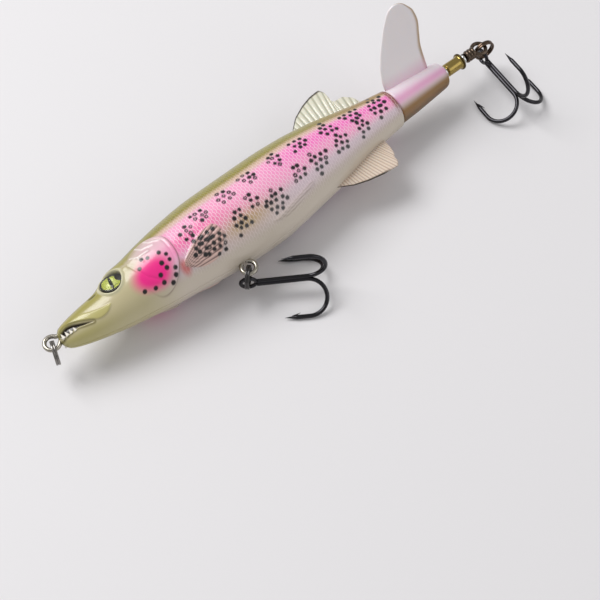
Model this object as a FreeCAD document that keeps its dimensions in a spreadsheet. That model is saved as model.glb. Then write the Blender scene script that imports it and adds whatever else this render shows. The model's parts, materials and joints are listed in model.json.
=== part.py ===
import FreeCAD, Part
import Sketcher
import math
import os

# Topwater fishing lure with a rotating tail, shaped like a small pike.
#
# The lure lies on its right side, as it does on a table: +X runs from the nose to the tail, +Y
# towards the fish's back, -Y towards its belly and +Z up, through its left flank. The origin is
# on the table, below the middle of the whole lure. Every piece is built about the lure's axis,
# which is the tail shaft's centre line, with x counted from the nose tip, and is then placed.
#
# Sizes are millimetres. The sheet holds one value for each size that can be set by itself.

SIZES = [
    ("nose_x", -65.402, "nose tip, along X from the origin"),
    ("axis_y", 6.751, "lure axis, along Y from the origin"),
    ("body_length", 97.0, "moulded body, nose tip to rear rim"),
    ("back_height", 9.55, "lure axis to the highest point of the back"),
    ("belly_depth", 11.6, "lure axis to the lowest point of the belly"),
    ("body_width", 18.0, "body across its flanks"),
    ("wall", 1.2, "moulded wall"),
    ("end_wall", 3.2, "solid rear end that carries the shaft"),
    ("snout_solid", 14.0, "solid snout, from the nose tip"),
    ("bulkhead", 1.2, "thickness of the walls between the chambers"),
    ("fin_thick", 1.2, "dorsal and anal fins"),
    ("dorsal_front", 74.2, "dorsal fin's front root, behind the nose tip"),
    ("dorsal_rear", 93.1, "dorsal fin's rear root, behind the nose tip"),
    ("anal_front", 72.3, "anal fin's front root, behind the nose tip"),
    ("anal_rear", 89.7, "anal fin's rear root, behind the nose tip"),
    ("fin_inner_root", 3.0, "how deep the fins' roots run into the body"),
    ("relief", 0.45, "how far gill covers and paired fins stand proud"),
    ("pin_rad", 0.8, "locating pins between the halves"),
    ("pin_length", 1.6, "locating pins, above the seam"),
    ("pin_clear", 0.06, "locating pin in its socket"),
    ("boss_rad", 1.9, "bosses for the locating pins"),
    ("wire_rad", 0.5, "stainless wire of the hangers and the shaft"),
    ("eye_ring_rad", 1.7, "wire eyes, to the wire's centre line"),
    ("wire_clear", 0.08, "wire in its groove"),
    ("tie_reach", 1.5, "line tie's eye centre ahead of the nose tip"),
    ("tie_drop", 0.6, "line tie below the lure axis"),
    ("tie_anchor", 8.6, "line tie's inner eye, behind the nose tip"),
    ("hanger_x", 43.3, "belly hanger, behind the nose tip"),
    ("hanger_reach", 1.65, "belly hanger's outer eye centre, below the belly"),
    ("hanger_pitch", 4.5, "belly hanger, between its two eyes"),
    ("shaft_anchor", 86.0, "shaft's inner eye, behind the nose tip"),
    ("bore_clear", 0.1, "running clearance round the shaft"),
    ("side_clear", 0.15, "end play between the pieces on the shaft"),
    ("cup_depth", 1.8, "recess in the rear rim"),
    ("cup_rad", 3.9, "recess in the rear rim"),
    ("washer_rad", 2.3, "front washer"),
    ("washer_thick", 0.5, "front washer"),
    ("pilot_rad", 2.6, "tail hub's nose, inside the recess"),
    ("hub_gap", 0.35, "rear rim to the tail hub"),
    ("hub_length", 16.4, "tail hub, from its shoulder"),
    ("hub_front_rad", 4.6, "tail hub at its shoulder"),
    ("hub_rear_rad", 3.5, "tail hub behind"),
    ("hub_round", 1.1, "tail hub's rear corner"),
    ("blade_reach", 22.4, "blade tip, from the shaft"),
    ("blade_root", 13.4, "blade's root along the hub"),
    ("blade_thick", 1.5, "blade at its root"),
    ("blade_edge", 0.9, "blade at its tip"),
    ("blade_cup", 4.2, "how far the tip is bent out of the blade's root plane"),
    ("blade_camber", 0.9, "hollow across the blade, near its tip"),
    ("blade_turn", 50.0, "blade above the table, in degrees"),
    ("sleeve_rad", 1.6, "brass sleeve"),
    ("sleeve_tail", 6.1, "brass sleeve behind the hub"),
    ("flange_rad", 2.1, "brass sleeve's rear flange"),
    ("flange_thick", 0.5, "brass sleeve's rear flange"),
    ("bead_rad", 1.25, "bead behind the sleeve"),
    ("bead_length", 1.2, "bead behind the sleeve"),
    ("wrap_pitch", 0.95, "turns of wire that close the shaft's loop"),
    ("wrap_turns", 3, "turns of wire that close the shaft's loop"),
    ("split_inner", 2.2, "split rings, inside radius"),
    ("split_thick", 0.6, "split rings, across their wire"),
    ("split_width", 1.1, "split rings, both coils together"),
    ("link_clear", 0.25, "gap between linked rings"),
    ("hook_wire", 0.5, "treble hooks, wire radius"),
    ("hook_eye_rad", 1.75, "treble hooks, eye to its wire's centre line"),
    ("hook_length", 17.9, "treble hooks, eye centre to the outside of the bend"),
    ("hook_bend", 4.2, "treble hooks, bend to the wire's centre line"),
    ("hook_leg", 3.2, "treble hooks, straight stretch before the point"),
    ("hook_point", 2.6, "treble hooks, tapered point"),
    ("hook_count", 3, "hooks on one shank"),
    ("barb_length", 1.1, "treble hooks, barb"),
    ("barb_height", 0.45, "treble hooks, barb"),
    ("tie_ring_turn", 250.0, "direction in which the nose ring leaves its eye, in degrees"),
    ("belly_ring_turn", 225.0, "direction in which the belly ring leaves its eye, in degrees"),
    ("belly_hook_turn", -33.0, "direction of the belly hook's shank, in degrees"),
    ("rear_ring_turn", -10.0, "direction in which the rear ring leaves its loop, in degrees"),
    ("rear_hook_turn", -97.0, "direction of the rear hook's shank, in degrees"),
    ("eyeball_x", 15.9, "fish's eye, behind the nose tip"),
    ("eyeball_rise", 0.4, "fish's eye, above the middle, as a share of the half depth"),
    ("eyeball_rad", 2.6, "fish's eye"),
    ("socket_clear", 0.12, "fish's eye in its socket"),
    ("socket_depth", 0.9, "fish's eye socket"),
    ("foil_thick", 0.3, "printed foil behind the eye's dome"),
    ("dome_height", 1.0, "clear dome on the foil"),
    ("front_ballast_x", 27.6, "front ballast, behind the nose tip"),
    ("front_ballast_length", 11.0, "front ballast"),
    ("front_ballast_rad", 2.6, "front ballast"),
    ("rear_ballast_x", 48.8, "rear ballast, behind the nose tip"),
    ("rear_ballast_length", 12.0, "rear ballast"),
    ("rear_ballast_rad", 2.4, "rear ballast"),
    ("ballast_clear", 0.25, "ballast in its chamber"),
    ("ballast_break", 0.4, "broken edges of the ballast"),
    ("mouth_depth", 1.6, "how deep the mouth's slit is cut"),
    ("ray_groove", 0.28, "grooves between a paired fin's rays"),
    ("rattle_rad", 2.4, "rattle ball"),
    ("rattle_clear", 0.3, "rattle ball in its trough"),
    ("rattle_travel", 10.0, "rattle ball's travel"),
]

# The body's outline, nose to tail, as shares: place along the length, height of the back, depth
# of the belly and half width. The head's brow bump and the slim tail root lie in these rows.
OUTLINE = [
    (0.000, 0.074, 0.29, 0.18),
    (0.026, 0.168, 0.40, 0.31),
    (0.072, 0.252, 0.52, 0.43),
    (0.119, 0.316, 0.61, 0.53),
    (0.150, 0.440, 0.66, 0.62),
    (0.180, 0.580, 0.70, 0.70),
    (0.206, 0.600, 0.73, 0.77),
    (0.268, 0.730, 0.81, 0.86),
    (0.340, 0.860, 0.87, 0.92),
    (0.433, 0.963, 0.96, 0.98),
    (0.536, 0.990, 1.00, 1.00),
    (0.619, 1.000, 0.95, 0.995),
    (0.701, 0.970, 0.85, 0.955),
    (0.784, 0.880, 0.745, 0.855),
    (0.866, 0.722, 0.60, 0.72),
    (0.938, 0.580, 0.50, 0.62),
    (1.000, 0.485, 0.43, 0.565),
]

doc = FreeCAD.newDocument("rotating_tail_lure")
sheet = doc.addObject("Spreadsheet::Sheet", "dims")
for row, (alias, value, note) in enumerate(SIZES, start=1):
    sheet.set("A%d" % row, alias)
    sheet.set("B%d" % row, str(value))
    sheet.set("C%d" % row, note)
    sheet.setAlias("B%d" % row, alias)
doc.recompute()


def size(alias):
    """A driving dimension, read back from the sheet."""
    return float(sheet.get(alias))


V = FreeCAD.Vector
X_AXIS = V(1, 0, 0)
Y_AXIS = V(0, 1, 0)
Z_AXIS = V(0, 0, 1)

LENGTH = size("body_length")
WALL = size("wall")
WIRE = size("wire_rad")
EYE_RING = size("eye_ring_rad")
AXIS_HEIGHT = size("body_width") / 2
LEFT = 1
RIGHT = -1

# How finely round forms are drawn: flats round half of the skin, of the cavity and round a wire.
SKIN_STEPS = 14
CAVITY_STEPS = 7
WIRE_SIDES = 12


# ---------------------------------------------------------------- the body's form

def outline_at(x):
    """Height of the back, depth of the belly (negative) and half width at one station."""
    share = min(max(x / LENGTH, 0.0), 1.0)
    for low, high in zip(OUTLINE, OUTLINE[1:]):
        if share <= high[0]:
            break
    mix = (share - low[0]) / (high[0] - low[0])
    back, belly, half = (low[i] + (high[i] - low[i]) * mix for i in (1, 2, 3))
    return (back * size("back_height"), -belly * size("belly_depth"),
            half * size("body_width") / 2)


def skin_point(x, angle, offset=0.0):
    """Point on the body's oval skin: angle 0 at the back, 90 degrees out through the left flank."""
    back, belly, half = outline_at(x)
    middle = (back + belly) / 2
    depth = (back - belly) / 2 + offset
    turn = math.radians(angle)
    return V(x, middle + depth * math.cos(turn), (half + offset) * math.sin(turn))


def half_section(x, side, offset, steps):
    """Half of the body's oval section as a many-sided outline, closed along the seam plane."""
    points = [skin_point(x, 180.0 * i / steps, offset) for i in range(steps + 1)]
    points = [V(p.x, p.y, side * p.z) for p in points]
    points[0].z = 0.0
    points[-1].z = 0.0
    return Part.makePolygon(points + [points[0]])


def half_form(side, offset=0.0, start=0.0, end=LENGTH, steps=SKIN_STEPS):
    """Half of the body as a solid, grown or shrunk by offset, between two stations."""
    stations = [row[0] * LENGTH for row in OUTLINE]
    inner = [x for x in stations if start + 1.5 < x < end - 1.5]
    return Part.makeLoft([half_section(x, side, offset, steps) for x in [start] + inner + [end]],
                         True, False)


def slab(start, end, side=0):
    """A block across the whole body between two stations; side keeps one half of it."""
    reach = size("back_height") + size("belly_depth") + size("body_width")
    low = 0 if side > 0 else -reach
    high = 0 if side < 0 else reach
    return Part.makeBox(end - start, 2 * reach, high - low, V(start, -reach, low))


def ring(centre, mean_radius, wire, normal=Z_AXIS):
    """A closed ring of wire, its section drawn with flats, turned about its own axis."""
    side = Y_AXIS if normal.x > 0.5 else X_AXIS
    middle = centre + side * mean_radius
    turns = [2 * math.pi * (k + 0.5) / WIRE_SIDES for k in range(WIRE_SIDES)]
    points = [middle + side * (wire * math.cos(a)) + normal * (wire * math.sin(a)) for a in turns]
    return Part.Face(Part.makePolygon(points + [points[0]])).revolve(centre, normal, 360)


def rod(start, end, radius):
    """A round bar between two points."""
    return Part.makeCylinder(radius, (end - start).Length, start, end - start)


def upright(x, y, radius, low, high):
    """A round post square to the seam plane."""
    return Part.makeCylinder(radius, high - low, V(x, y, low), Z_AXIS)


def feature(name, shape):
    """A sub-part whose shape comes from Part's own functions."""
    part = doc.addObject("Part::Feature", name)
    part.Label = name
    part.Shape = shape
    return part


# ---------------------------------------------------------------- where the wires lie

TIE_Y = -size("tie_drop")
TIE_EYE = V(-size("tie_reach"), TIE_Y, 0)
TIE_ANCHOR = V(size("tie_anchor"), TIE_Y, 0)
HANGER_EYE = V(size("hanger_x"), outline_at(size("hanger_x"))[1] - size("hanger_reach"), 0)
HANGER_ANCHOR = HANGER_EYE + V(0, size("hanger_pitch"), 0)
SHAFT_ANCHOR = V(size("shaft_anchor"), 0, 0)
CHAMBER_WALLS = [
    size("front_ballast_x") - size("ballast_clear") - size("bulkhead"),
    size("front_ballast_x") + size("front_ballast_length") + size("ballast_clear"),
    size("rear_ballast_x") - size("ballast_clear") - size("bulkhead"),
    size("rear_ballast_x") + size("rear_ballast_length") + size("ballast_clear"),
]
RATTLE_LOW = CHAMBER_WALLS[-1] + size("bulkhead")
RATTLE_HIGH = RATTLE_LOW + 2 * size("rattle_rad") + size("rattle_travel") + 2 * size("side_clear")
RATTLE_Z = size("rattle_rad") + size("rattle_clear") + WALL - outline_at(RATTLE_HIGH)[2]
CHAMBER_WALLS.append(RATTLE_HIGH)


def anchor_seat(centre, towards):
    """Room for a wire's inner eye and its neck, with a peg left standing in the eye."""
    wire = WIRE + size("wire_clear")
    outer = EYE_RING + wire
    well = upright(centre.x, centre.y, outer, -wire, wire)
    peg = upright(centre.x, centre.y, EYE_RING - wire, -wire, wire)
    groove = rod(centre + (towards - centre).normalize() * EYE_RING, towards, wire)
    return well.cut(peg).fuse(groove)


def anchor_boss(centre, side):
    """Solid pad, from the skin to the seam, round a wire's inner eye."""
    radius = EYE_RING + WIRE + WALL
    reach = side * size("body_width")
    return upright(centre.x, centre.y, radius, min(0, reach), max(0, reach))


# ---------------------------------------------------------------- fins and raised details

def fin_blade(points, side):
    """Half the thickness of a fin on the seam plane, from its outline in x and y."""
    thick = size("fin_thick") / 2
    wire = Part.makePolygon([V(x, y, 0) for x, y in points] + [V(points[0][0], points[0][1], 0)])
    return Part.Face(wire).extrude(V(0, 0, side * thick))


# Edges of the two upright fins: place behind the front root, and height beyond the highest point
# of the back or the lowest of the belly. Each has a notch and a small second lobe behind.
DORSAL_FIN = [(0.7, 0.45), (3.6, 2.95), (7.1, 4.65), (10.2, 5.6), (13.2, 5.85), (13.9, 4.25),
              (13.5, 1.35), (14.2, 0.75), (16.4, 0.65), (18.2, -1.15)]
ANAL_FIN = [(3.7, -0.35), (7.3, 0.85), (11.2, 1.65), (15.2, 1.95), (16.15, 0.7), (16.1, -0.4),
            (16.9, -1.4), (17.3, -3.0)]


def upright_fin(name, edge, skin, level, out):
    """Outline of a fin on the seam plane, from its front root inside the body to its rear one."""
    front = size(name + "_front")
    rear = size(name + "_rear")
    root = out * size("fin_inner_root")
    start = outline_at(front)[skin]
    stop = outline_at(rear)[skin]
    return ([(front, start - root), (front, start)]
            + [(front + along, out * (level + height)) for along, height in edge]
            + [(rear, stop), (rear, stop - root)])


def raised_patch(side, points, proud):
    """A detail moulded proud of the skin: its outline, seen through the flank, cut from a
    grown copy of the body's form."""
    curve = Part.BSplineCurve()
    curve.interpolate(Points=[V(x, y, 0) for x, y in points], PeriodicFlag=True)
    prism = Part.Face(Part.Wire(curve.toShape())).extrude(V(0, 0, side * size("body_width")))
    low = min(x for x, y in points) - 2.0
    high = max(x for x, y in points) + 2.0
    return half_form(side, proud, max(low, 0.0), high).common(prism)


GILL_COVER = [(21.6, 2.6), (26.3, 3.9), (30.4, 2.2), (31.1, -1.6), (30.0, -5.6), (26.6, -8.2),
              (22.6, -8.0), (20.6, -4.0)]
PECTORAL_FIN = [(30.8, -6.2), (34.4, -4.8), (39.0, -3.9), (41.2, -4.9), (40.6, -7.4),
                (37.4, -9.2), (33.4, -8.9)]
PELVIC_FIN = [(54.6, -8.3), (58.0, -7.4), (62.6, -5.9), (63.6, -6.7), (60.4, -8.2),
              (56.8, -9.1)]


def fin_rays(side, points, count, proud):
    """Grooves between a paired fin's rays, fanning out from its root."""
    root = V(points[0][0] - 3.0, points[0][1] - 0.4, 0)
    tips = points[2:5]
    grooves = []
    for i in range(1, count + 1):
        mix = i / (count + 1.0)
        tip = V(tips[0][0] + (tips[-1][0] - tips[0][0]) * mix,
                tips[0][1] + (tips[-1][1] - tips[0][1]) * mix, 0)
        run = (tip - root).normalize()
        across = V(-run.y, run.x, 0) * (size("ray_groove") / 2)
        start = root + run * 4.6
        end = tip - run * 0.8
        outline = Part.makePolygon([start - across, end - across, end + across, start + across,
                                    start - across])
        grooves.append(Part.Face(outline).extrude(V(0, 0, side * size("body_width"))))
    low = min(x for x, y in points) - 2.0
    high = max(x for x, y in points) + 2.0
    return Part.makeCompound(grooves).cut(half_form(side, proud * 0.35, low, high))


# ---------------------------------------------------------------- eyes

def eye_frame(side):
    """Centre of the eye's socket on the skin, and the outward direction it faces."""
    back, belly, half = outline_at(size("eyeball_x"))
    depth = (back - belly) / 2
    rise = size("eyeball_rise")
    out = half * math.sqrt(1 - rise * rise)
    centre = V(size("eyeball_x"), (back + belly) / 2 + rise * depth, side * out)
    facing = V(0, rise / depth, side * out / half / half).normalize()
    return centre, facing


def eye_socket(side):
    """Round recess for the eye, open outwards."""
    centre, facing = eye_frame(side)
    radius = size("eyeball_rad") + size("socket_clear")
    floor = centre - facing * size("socket_depth")
    return Part.makeCylinder(radius, 3 * size("socket_depth"), floor, facing)


def eye_foil(side):
    """Thin printed disc on the socket's floor."""
    centre, facing = eye_frame(side)
    floor = centre - facing * (size("socket_depth") - size("socket_clear") / 2)
    return Part.makeCylinder(size("eyeball_rad"), size("foil_thick"), floor, facing)


def eye_dome(side):
    """Clear cap of a ball, flat on the foil."""
    centre, facing = eye_frame(side)
    depth = size("socket_depth") - size("socket_clear") / 2 - size("foil_thick")
    floor = centre - facing * (depth - size("socket_clear") / 4)
    radius = size("eyeball_rad")
    height = size("dome_height")
    ball_radius = (radius * radius + height * height) / (2 * height)
    ball = Part.makeSphere(ball_radius, floor + facing * (height - ball_radius))
    return ball.common(Part.makeCylinder(radius, 2 * height, floor, facing))


# ---------------------------------------------------------------- the two body halves

def rattle_trough(side):
    """Moulded trough, in the lower half, that the rattle ball rolls along."""
    if side == LEFT:
        return []
    radius = size("rattle_rad") + size("rattle_clear")
    across = radius + size("bulkhead")
    rails = Part.makeBox(RATTLE_HIGH - RATTLE_LOW, 2 * across, size("body_width"),
                         V(RATTLE_LOW, -across, RATTLE_Z - size("body_width")))
    return [rails.cut(rod(V(RATTLE_LOW, 0, RATTLE_Z), V(RATTLE_HIGH, 0, RATTLE_Z), radius))]


PIN_PLACES = [(23.5, 0.0), (45.5, 5.6), (63.0, 6.2), (80.5, -4.4)]


def body_half(side):
    """One moulded half: skin, chambers, seats, fins and raised details."""
    outer = half_form(side)
    cavity = half_form(side, -WALL, size("snout_solid"), LENGTH - size("end_wall"), CAVITY_STEPS)
    inside = Part.makeCompound(
        [slab(x, x + size("bulkhead"), side) for x in CHAMBER_WALLS]
        + [anchor_boss(HANGER_ANCHOR, side), anchor_boss(SHAFT_ANCHOR, side)]
        + [slab(size("shaft_anchor"), LENGTH, side).common(
            rod(SHAFT_ANCHOR, V(LENGTH, 0, 0), WIRE + WALL))]
        + [upright(x, y, size("boss_rad"), min(0, side * 9), max(0, side * 9))
           for x, y in PIN_PLACES]
        + rattle_trough(side))
    half = outer.cut(cavity.cut(inside))
    fins = [fin_blade(upright_fin("dorsal", DORSAL_FIN, 0, size("back_height"), 1), side),
            fin_blade(upright_fin("anal", ANAL_FIN, 1, size("belly_depth"), -1), side)]
    details = [raised_patch(side, GILL_COVER, size("relief")),
               raised_patch(side, PECTORAL_FIN, size("relief")),
               raised_patch(side, PELVIC_FIN, size("relief"))]
    fin_cavity = half_form(side, -WALL / 2, size("snout_solid"), LENGTH - size("end_wall"),
                           CAVITY_STEPS)
    half = half.fuse([fin.cut(fin_cavity) for fin in fins])
    half = half.fuse([detail.cut(outer) for detail in details])
    wire = WIRE + size("wire_clear")
    hole = size("wire_rad") + size("bore_clear")
    cuts = [anchor_seat(TIE_ANCHOR, TIE_EYE), anchor_seat(HANGER_ANCHOR, HANGER_EYE),
            anchor_seat(SHAFT_ANCHOR, V(LENGTH, 0, 0)),
            rod(V(LENGTH - size("end_wall"), 0, 0), V(LENGTH + 1, 0, 0), hole),
            rod(V(LENGTH - size("cup_depth"), 0, 0), V(LENGTH + 1, 0, 0), size("cup_rad")),
            ring(HANGER_EYE, EYE_RING, wire), ring(TIE_EYE, EYE_RING, wire),
            eye_socket(side), mouth_slit(side)]
    cuts.append(fin_rays(side, PECTORAL_FIN, 7, size("relief")))
    half = half.cut(cuts)
    pins = []
    for x, y in PIN_PLACES:
        if side == RIGHT:
            pins.append(upright(x, y, size("pin_rad"), -WALL, size("pin_length")))
        else:
            depth = size("pin_length") + size("pin_clear")
            pins.append(upright(x, y, size("pin_rad") + size("pin_clear"), -WALL, depth))
    return half.fuse(pins) if side == RIGHT else half.cut(pins)


def mouth_slit(side):
    """Wedge between the jaws, open at the nose and closing towards the corner of the mouth."""
    corner = V(0.128 * LENGTH, -0.42 * size("belly_depth"), 0)
    lip = outline_at(0)[0] - 0.9
    points = [V(-1, lip, 0), V(3.4, lip - 1.0, 0), corner, V(3.4, lip - 1.5, 0),
              V(-1, lip - 1.4, 0), V(-1, lip, 0)]
    wedge = Part.Face(Part.makePolygon(points)).extrude(V(0, 0, side * size("body_width")))
    core = half_form(side, -size("mouth_depth") * 0.55, 0.0, size("snout_solid"))
    return wedge.cut(core)


left_shell = feature("left_shell", body_half(LEFT))
right_shell = feature("right_shell", body_half(RIGHT))
for side, word in ((LEFT, "left"), (RIGHT, "right")):
    feature(word + "_eye_foil", eye_foil(side))
    feature(word + "_eye_dome", eye_dome(side))

# ---------------------------------------------------------------- wire forms

feature("line_tie", ring(TIE_EYE, EYE_RING, WIRE).fuse([
    ring(TIE_ANCHOR, EYE_RING, WIRE),
    rod(TIE_EYE + X_AXIS * EYE_RING, TIE_ANCHOR - X_AXIS * EYE_RING, WIRE)]))

feature("belly_hanger", ring(HANGER_EYE, EYE_RING, WIRE).fuse([
    ring(HANGER_ANCHOR, EYE_RING, WIRE),
    rod(HANGER_EYE + Y_AXIS * EYE_RING, HANGER_ANCHOR - Y_AXIS * EYE_RING, WIRE)]))


# The wrapped turns sit snug on the shaft.
WRAP_SNUG = 0.93


def shaft_wire():
    """One wire: an inner eye, the straight shaft, close turns round it and an end loop."""
    shape = [ring(SHAFT_ANCHOR, EYE_RING, WIRE),
             rod(SHAFT_ANCHOR + X_AXIS * EYE_RING, V(LOOP_X - EYE_RING, 0, 0), WIRE),
             ring(V(LOOP_X, 0, 0), EYE_RING, WIRE)]
    for turn in range(int(size("wrap_turns"))):
        centre = V(WRAP_X + WIRE + turn * size("wrap_pitch"), 0, 0)
        shape.append(ring(centre, 2 * WIRE * WRAP_SNUG, WIRE, X_AXIS))
    return shape[0].fuse(shape[1:])


# Stations of the pieces on the shaft, front to back.
WASHER_X = LENGTH - size("cup_depth") + size("side_clear")
HUB_X = LENGTH + size("hub_gap")
HUB_END = HUB_X + size("hub_length")
SLEEVE_END = HUB_END + size("sleeve_tail")
BEAD_X = SLEEVE_END + size("side_clear")
WRAP_X = BEAD_X + size("bead_length") + size("side_clear")
LOOP_X = (WRAP_X + 2 * WIRE + (size("wrap_turns") - 1) * size("wrap_pitch") + EYE_RING)

feature("tail_shaft", shaft_wire())


# ---------------------------------------------------------------- turned and moulded pieces

def origin_part(body, role):
    """A plane or axis of the body's own origin, by its role."""
    return [part for part in body.Origin.OriginFeatures if part.Role == role][0]


def new_body(name):
    """A sub-part built from sketches."""
    body = doc.addObject("PartDesign::Body", name)
    body.Label = name
    return body


def sketch_on(body, name, role):
    """An empty sketch on one of the body's own origin planes."""
    sketch = body.newObject("Sketcher::SketchObject", name)
    sketch.AttachmentSupport = [(origin_part(body, role), "")]
    sketch.MapMode = "FlatFace"
    return sketch


def bind_point(sketch, edge, end, place):
    """Ties a sketch point's two coordinates to expressions on the sheet."""
    for kind, value, text in (("DistanceX", place[0][0], place[0][1]),
                              ("DistanceY", place[1][0], place[1][1])):
        index = sketch.addConstraint(Sketcher.Constraint(kind, -1, 1, edge, end, value))
        sketch.setExpression("Constraints[%d]" % index, text)


def worked_out(text):
    """An expression on the sheet's sizes: its value now, and the expression itself."""
    return float(sheet.evalExpression(text)), text


def closed_outline(sketch, corners):
    """A closed polygon whose corners are pairs of expressions."""
    places = [(worked_out(x), worked_out(y)) for x, y in corners]
    count = len(places)
    for i in range(count):
        start, end = places[i], places[(i + 1) % count]
        sketch.addGeometry(Part.LineSegment(V(start[0][0], start[1][0], 0),
                                            V(end[0][0], end[1][0], 0)), False)
    for i in range(count):
        sketch.addConstraint(Sketcher.Constraint("Coincident", i, 2, (i + 1) % count, 1))
    for i in range(count):
        bind_point(sketch, i, 1, places[i])


def turned(name, corners, role="XY_Plane", axis="H_Axis"):
    """A body of revolution from its half outline: by default x along the shaft, y the radius."""
    body = new_body(name)
    sketch = sketch_on(body, name + "_outline", role)
    closed_outline(sketch, corners)
    turn = body.newObject("PartDesign::Revolution", name + "_turn")
    turn.Profile = sketch
    turn.ReferenceAxis = (sketch, [axis])
    turn.Angle = 360
    sketch.Visibility = False
    return body


WASHER_START = "(dims.body_length - dims.cup_depth + dims.side_clear)"
WASHER_STOP = "(%s + dims.washer_thick)" % WASHER_START
SHAFT_HOLE = "(dims.wire_rad + dims.bore_clear)"
HUB_START = "(dims.body_length + dims.hub_gap)"
HUB_STOP = "(%s + dims.hub_length)" % HUB_START
PILOT_START = "(%s + dims.side_clear)" % WASHER_STOP
SLEEVE_STOP = "(%s + dims.sleeve_tail)" % HUB_STOP
BEAD_START = "(%s + dims.side_clear)" % SLEEVE_STOP
BEAD_STOP = "(%s + dims.bead_length)" % BEAD_START

front_washer = turned("front_washer", [
    (WASHER_START, SHAFT_HOLE), (WASHER_STOP, SHAFT_HOLE),
    (WASHER_STOP, "dims.washer_rad"), (WASHER_START, "dims.washer_rad")])

brass_sleeve = turned("brass_sleeve", [
    (PILOT_START, SHAFT_HOLE), (SLEEVE_STOP, SHAFT_HOLE),
    (SLEEVE_STOP, "dims.flange_rad"), (SLEEVE_STOP + " - dims.flange_thick", "dims.flange_rad"),
    (SLEEVE_STOP + " - dims.flange_thick", "dims.sleeve_rad"),
    (PILOT_START, "dims.sleeve_rad")])

rear_bead = turned("rear_bead", [
    (BEAD_START, SHAFT_HOLE), (BEAD_STOP, SHAFT_HOLE),
    (BEAD_STOP, "dims.bead_rad * 0.7"), (BEAD_STOP + " - dims.bead_length * 0.3", "dims.bead_rad"),
    (BEAD_START + " + dims.bead_length * 0.3", "dims.bead_rad"),
    (BEAD_START, "dims.bead_rad * 0.7")])

tail_hub = turned("tail_hub", [
    (PILOT_START, "dims.sleeve_rad"), (HUB_STOP, "dims.sleeve_rad"),
    (HUB_STOP, "dims.hub_rear_rad - dims.hub_round"),
    (HUB_STOP + " - dims.hub_round * 0.3", "dims.hub_rear_rad - dims.hub_round * 0.3"),
    (HUB_STOP + " - dims.hub_round", "dims.hub_rear_rad"),
    (HUB_START + " + dims.hub_gap", "dims.hub_front_rad"),
    (HUB_START, "dims.hub_front_rad - dims.hub_gap"),
    (HUB_START, "dims.pilot_rad"), (PILOT_START, "dims.pilot_rad")])


# The blade's outline, root to tip and back: place behind the hub's shoulder and distance from the
# shaft, as shares of the blade's root length and of its reach.
BLADE_OUTLINE = [
    (0.03, 0.12), (0.02, 0.25), (0.06, 0.41), (0.15, 0.55), (0.32, 0.74), (0.46, 0.88),
    (0.58, 0.97), (0.70, 1.00), (0.83, 0.985), (0.95, 0.92), (1.05, 0.83), (1.09, 0.70),
    (1.05, 0.55), (1.01, 0.42), (1.00, 0.28), (0.99, 0.12)]


def blade_section(reach):
    """A section of the cupped sheet the blade is cut from, at one distance from the shaft."""
    share = reach / size("blade_reach")
    thick = size("blade_thick") + (size("blade_edge") - size("blade_thick")) * share
    bend = size("blade_cup") * share * share
    middle = HUB_X + size("blade_root") / 2
    half = size("blade_root")
    faces = []
    for face in (1, -1):
        points = []
        for along in (-1.0, -0.5, 0.0, 0.5, 1.0):
            hollow = size("blade_camber") * share * (4 * along * along - 1)
            points.append(V(middle + half * along, reach, bend + hollow + face * thick / 2))
        curve = Part.BSplineCurve()
        curve.interpolate(Points=points[::face])
        faces.append(curve)
    ends = [Part.makeLine(faces[i].EndPoint, faces[1 - i].StartPoint) for i in (0, 1)]
    return Part.Wire([faces[0].toShape(), ends[0], faces[1].toShape(), ends[1]])


def tail_blade():
    """Cupped blade rising from inside the hub: a curved sheet trimmed to the blade's outline."""
    reaches = [size("blade_reach") * share for share in (0.05, 0.35, 0.7, 1.05)]
    sheet_form = Part.makeLoft([blade_section(reach) for reach in reaches], True, False)
    points = [V(HUB_X + along * size("blade_root"), out * size("blade_reach"), 0)
              for along, out in BLADE_OUTLINE]
    edge = Part.BSplineCurve()
    edge.interpolate(points)
    root = Part.makeLine(points[-1], points[0])
    depth = 2 * size("blade_cup") + size("blade_thick")
    prism = Part.Face(Part.Wire([edge.toShape(), root])).extrude(V(0, 0, 2 * depth))
    prism.translate(V(0, 0, -depth))
    return sheet_form.common(prism)


def solids_of(body):
    """Recomputes the document and gives a body's finished shape."""
    doc.recompute()
    return body.Shape.copy()


bore = rod(V(LENGTH, 0, 0), V(HUB_END, 0, 0), size("sleeve_rad"))
rotating_tail = feature("rotating_tail",
                        solids_of(tail_hub).fuse(tail_blade().cut(bore)).removeSplitter())


# ---------------------------------------------------------------- split rings

RING_LOW = "dims.split_inner"
RING_HIGH = "dims.split_inner + dims.split_thick"
RING_HALF = "dims.split_width / 2"
NOTCH = "dims.split_thick * 0.2"
RING_PROFILE = [
    (RING_LOW, "-%s + %s" % (RING_HALF, NOTCH)), (RING_LOW, "-%s" % NOTCH),
    (RING_LOW + " + " + NOTCH, "0"), (RING_LOW, NOTCH),
    (RING_LOW, "%s - %s" % (RING_HALF, NOTCH)), (RING_LOW + " + " + NOTCH, RING_HALF),
    (RING_HIGH + " - " + NOTCH, RING_HALF), (RING_HIGH, "%s - %s" % (RING_HALF, NOTCH)),
    (RING_HIGH, NOTCH), (RING_HIGH + " - " + NOTCH, "0"), (RING_HIGH, "-%s" % NOTCH),
    (RING_HIGH, "-%s + %s" % (RING_HALF, NOTCH)), (RING_HIGH + " - " + NOTCH, "-" + RING_HALF),
    (RING_LOW + " + " + NOTCH, "-" + RING_HALF)]


def split_ring(name):
    """Two coils of flat wire side by side, turned about the ring's own upright axis."""
    return turned(name, RING_PROFILE, "XZ_Plane", "V_Axis")


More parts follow.
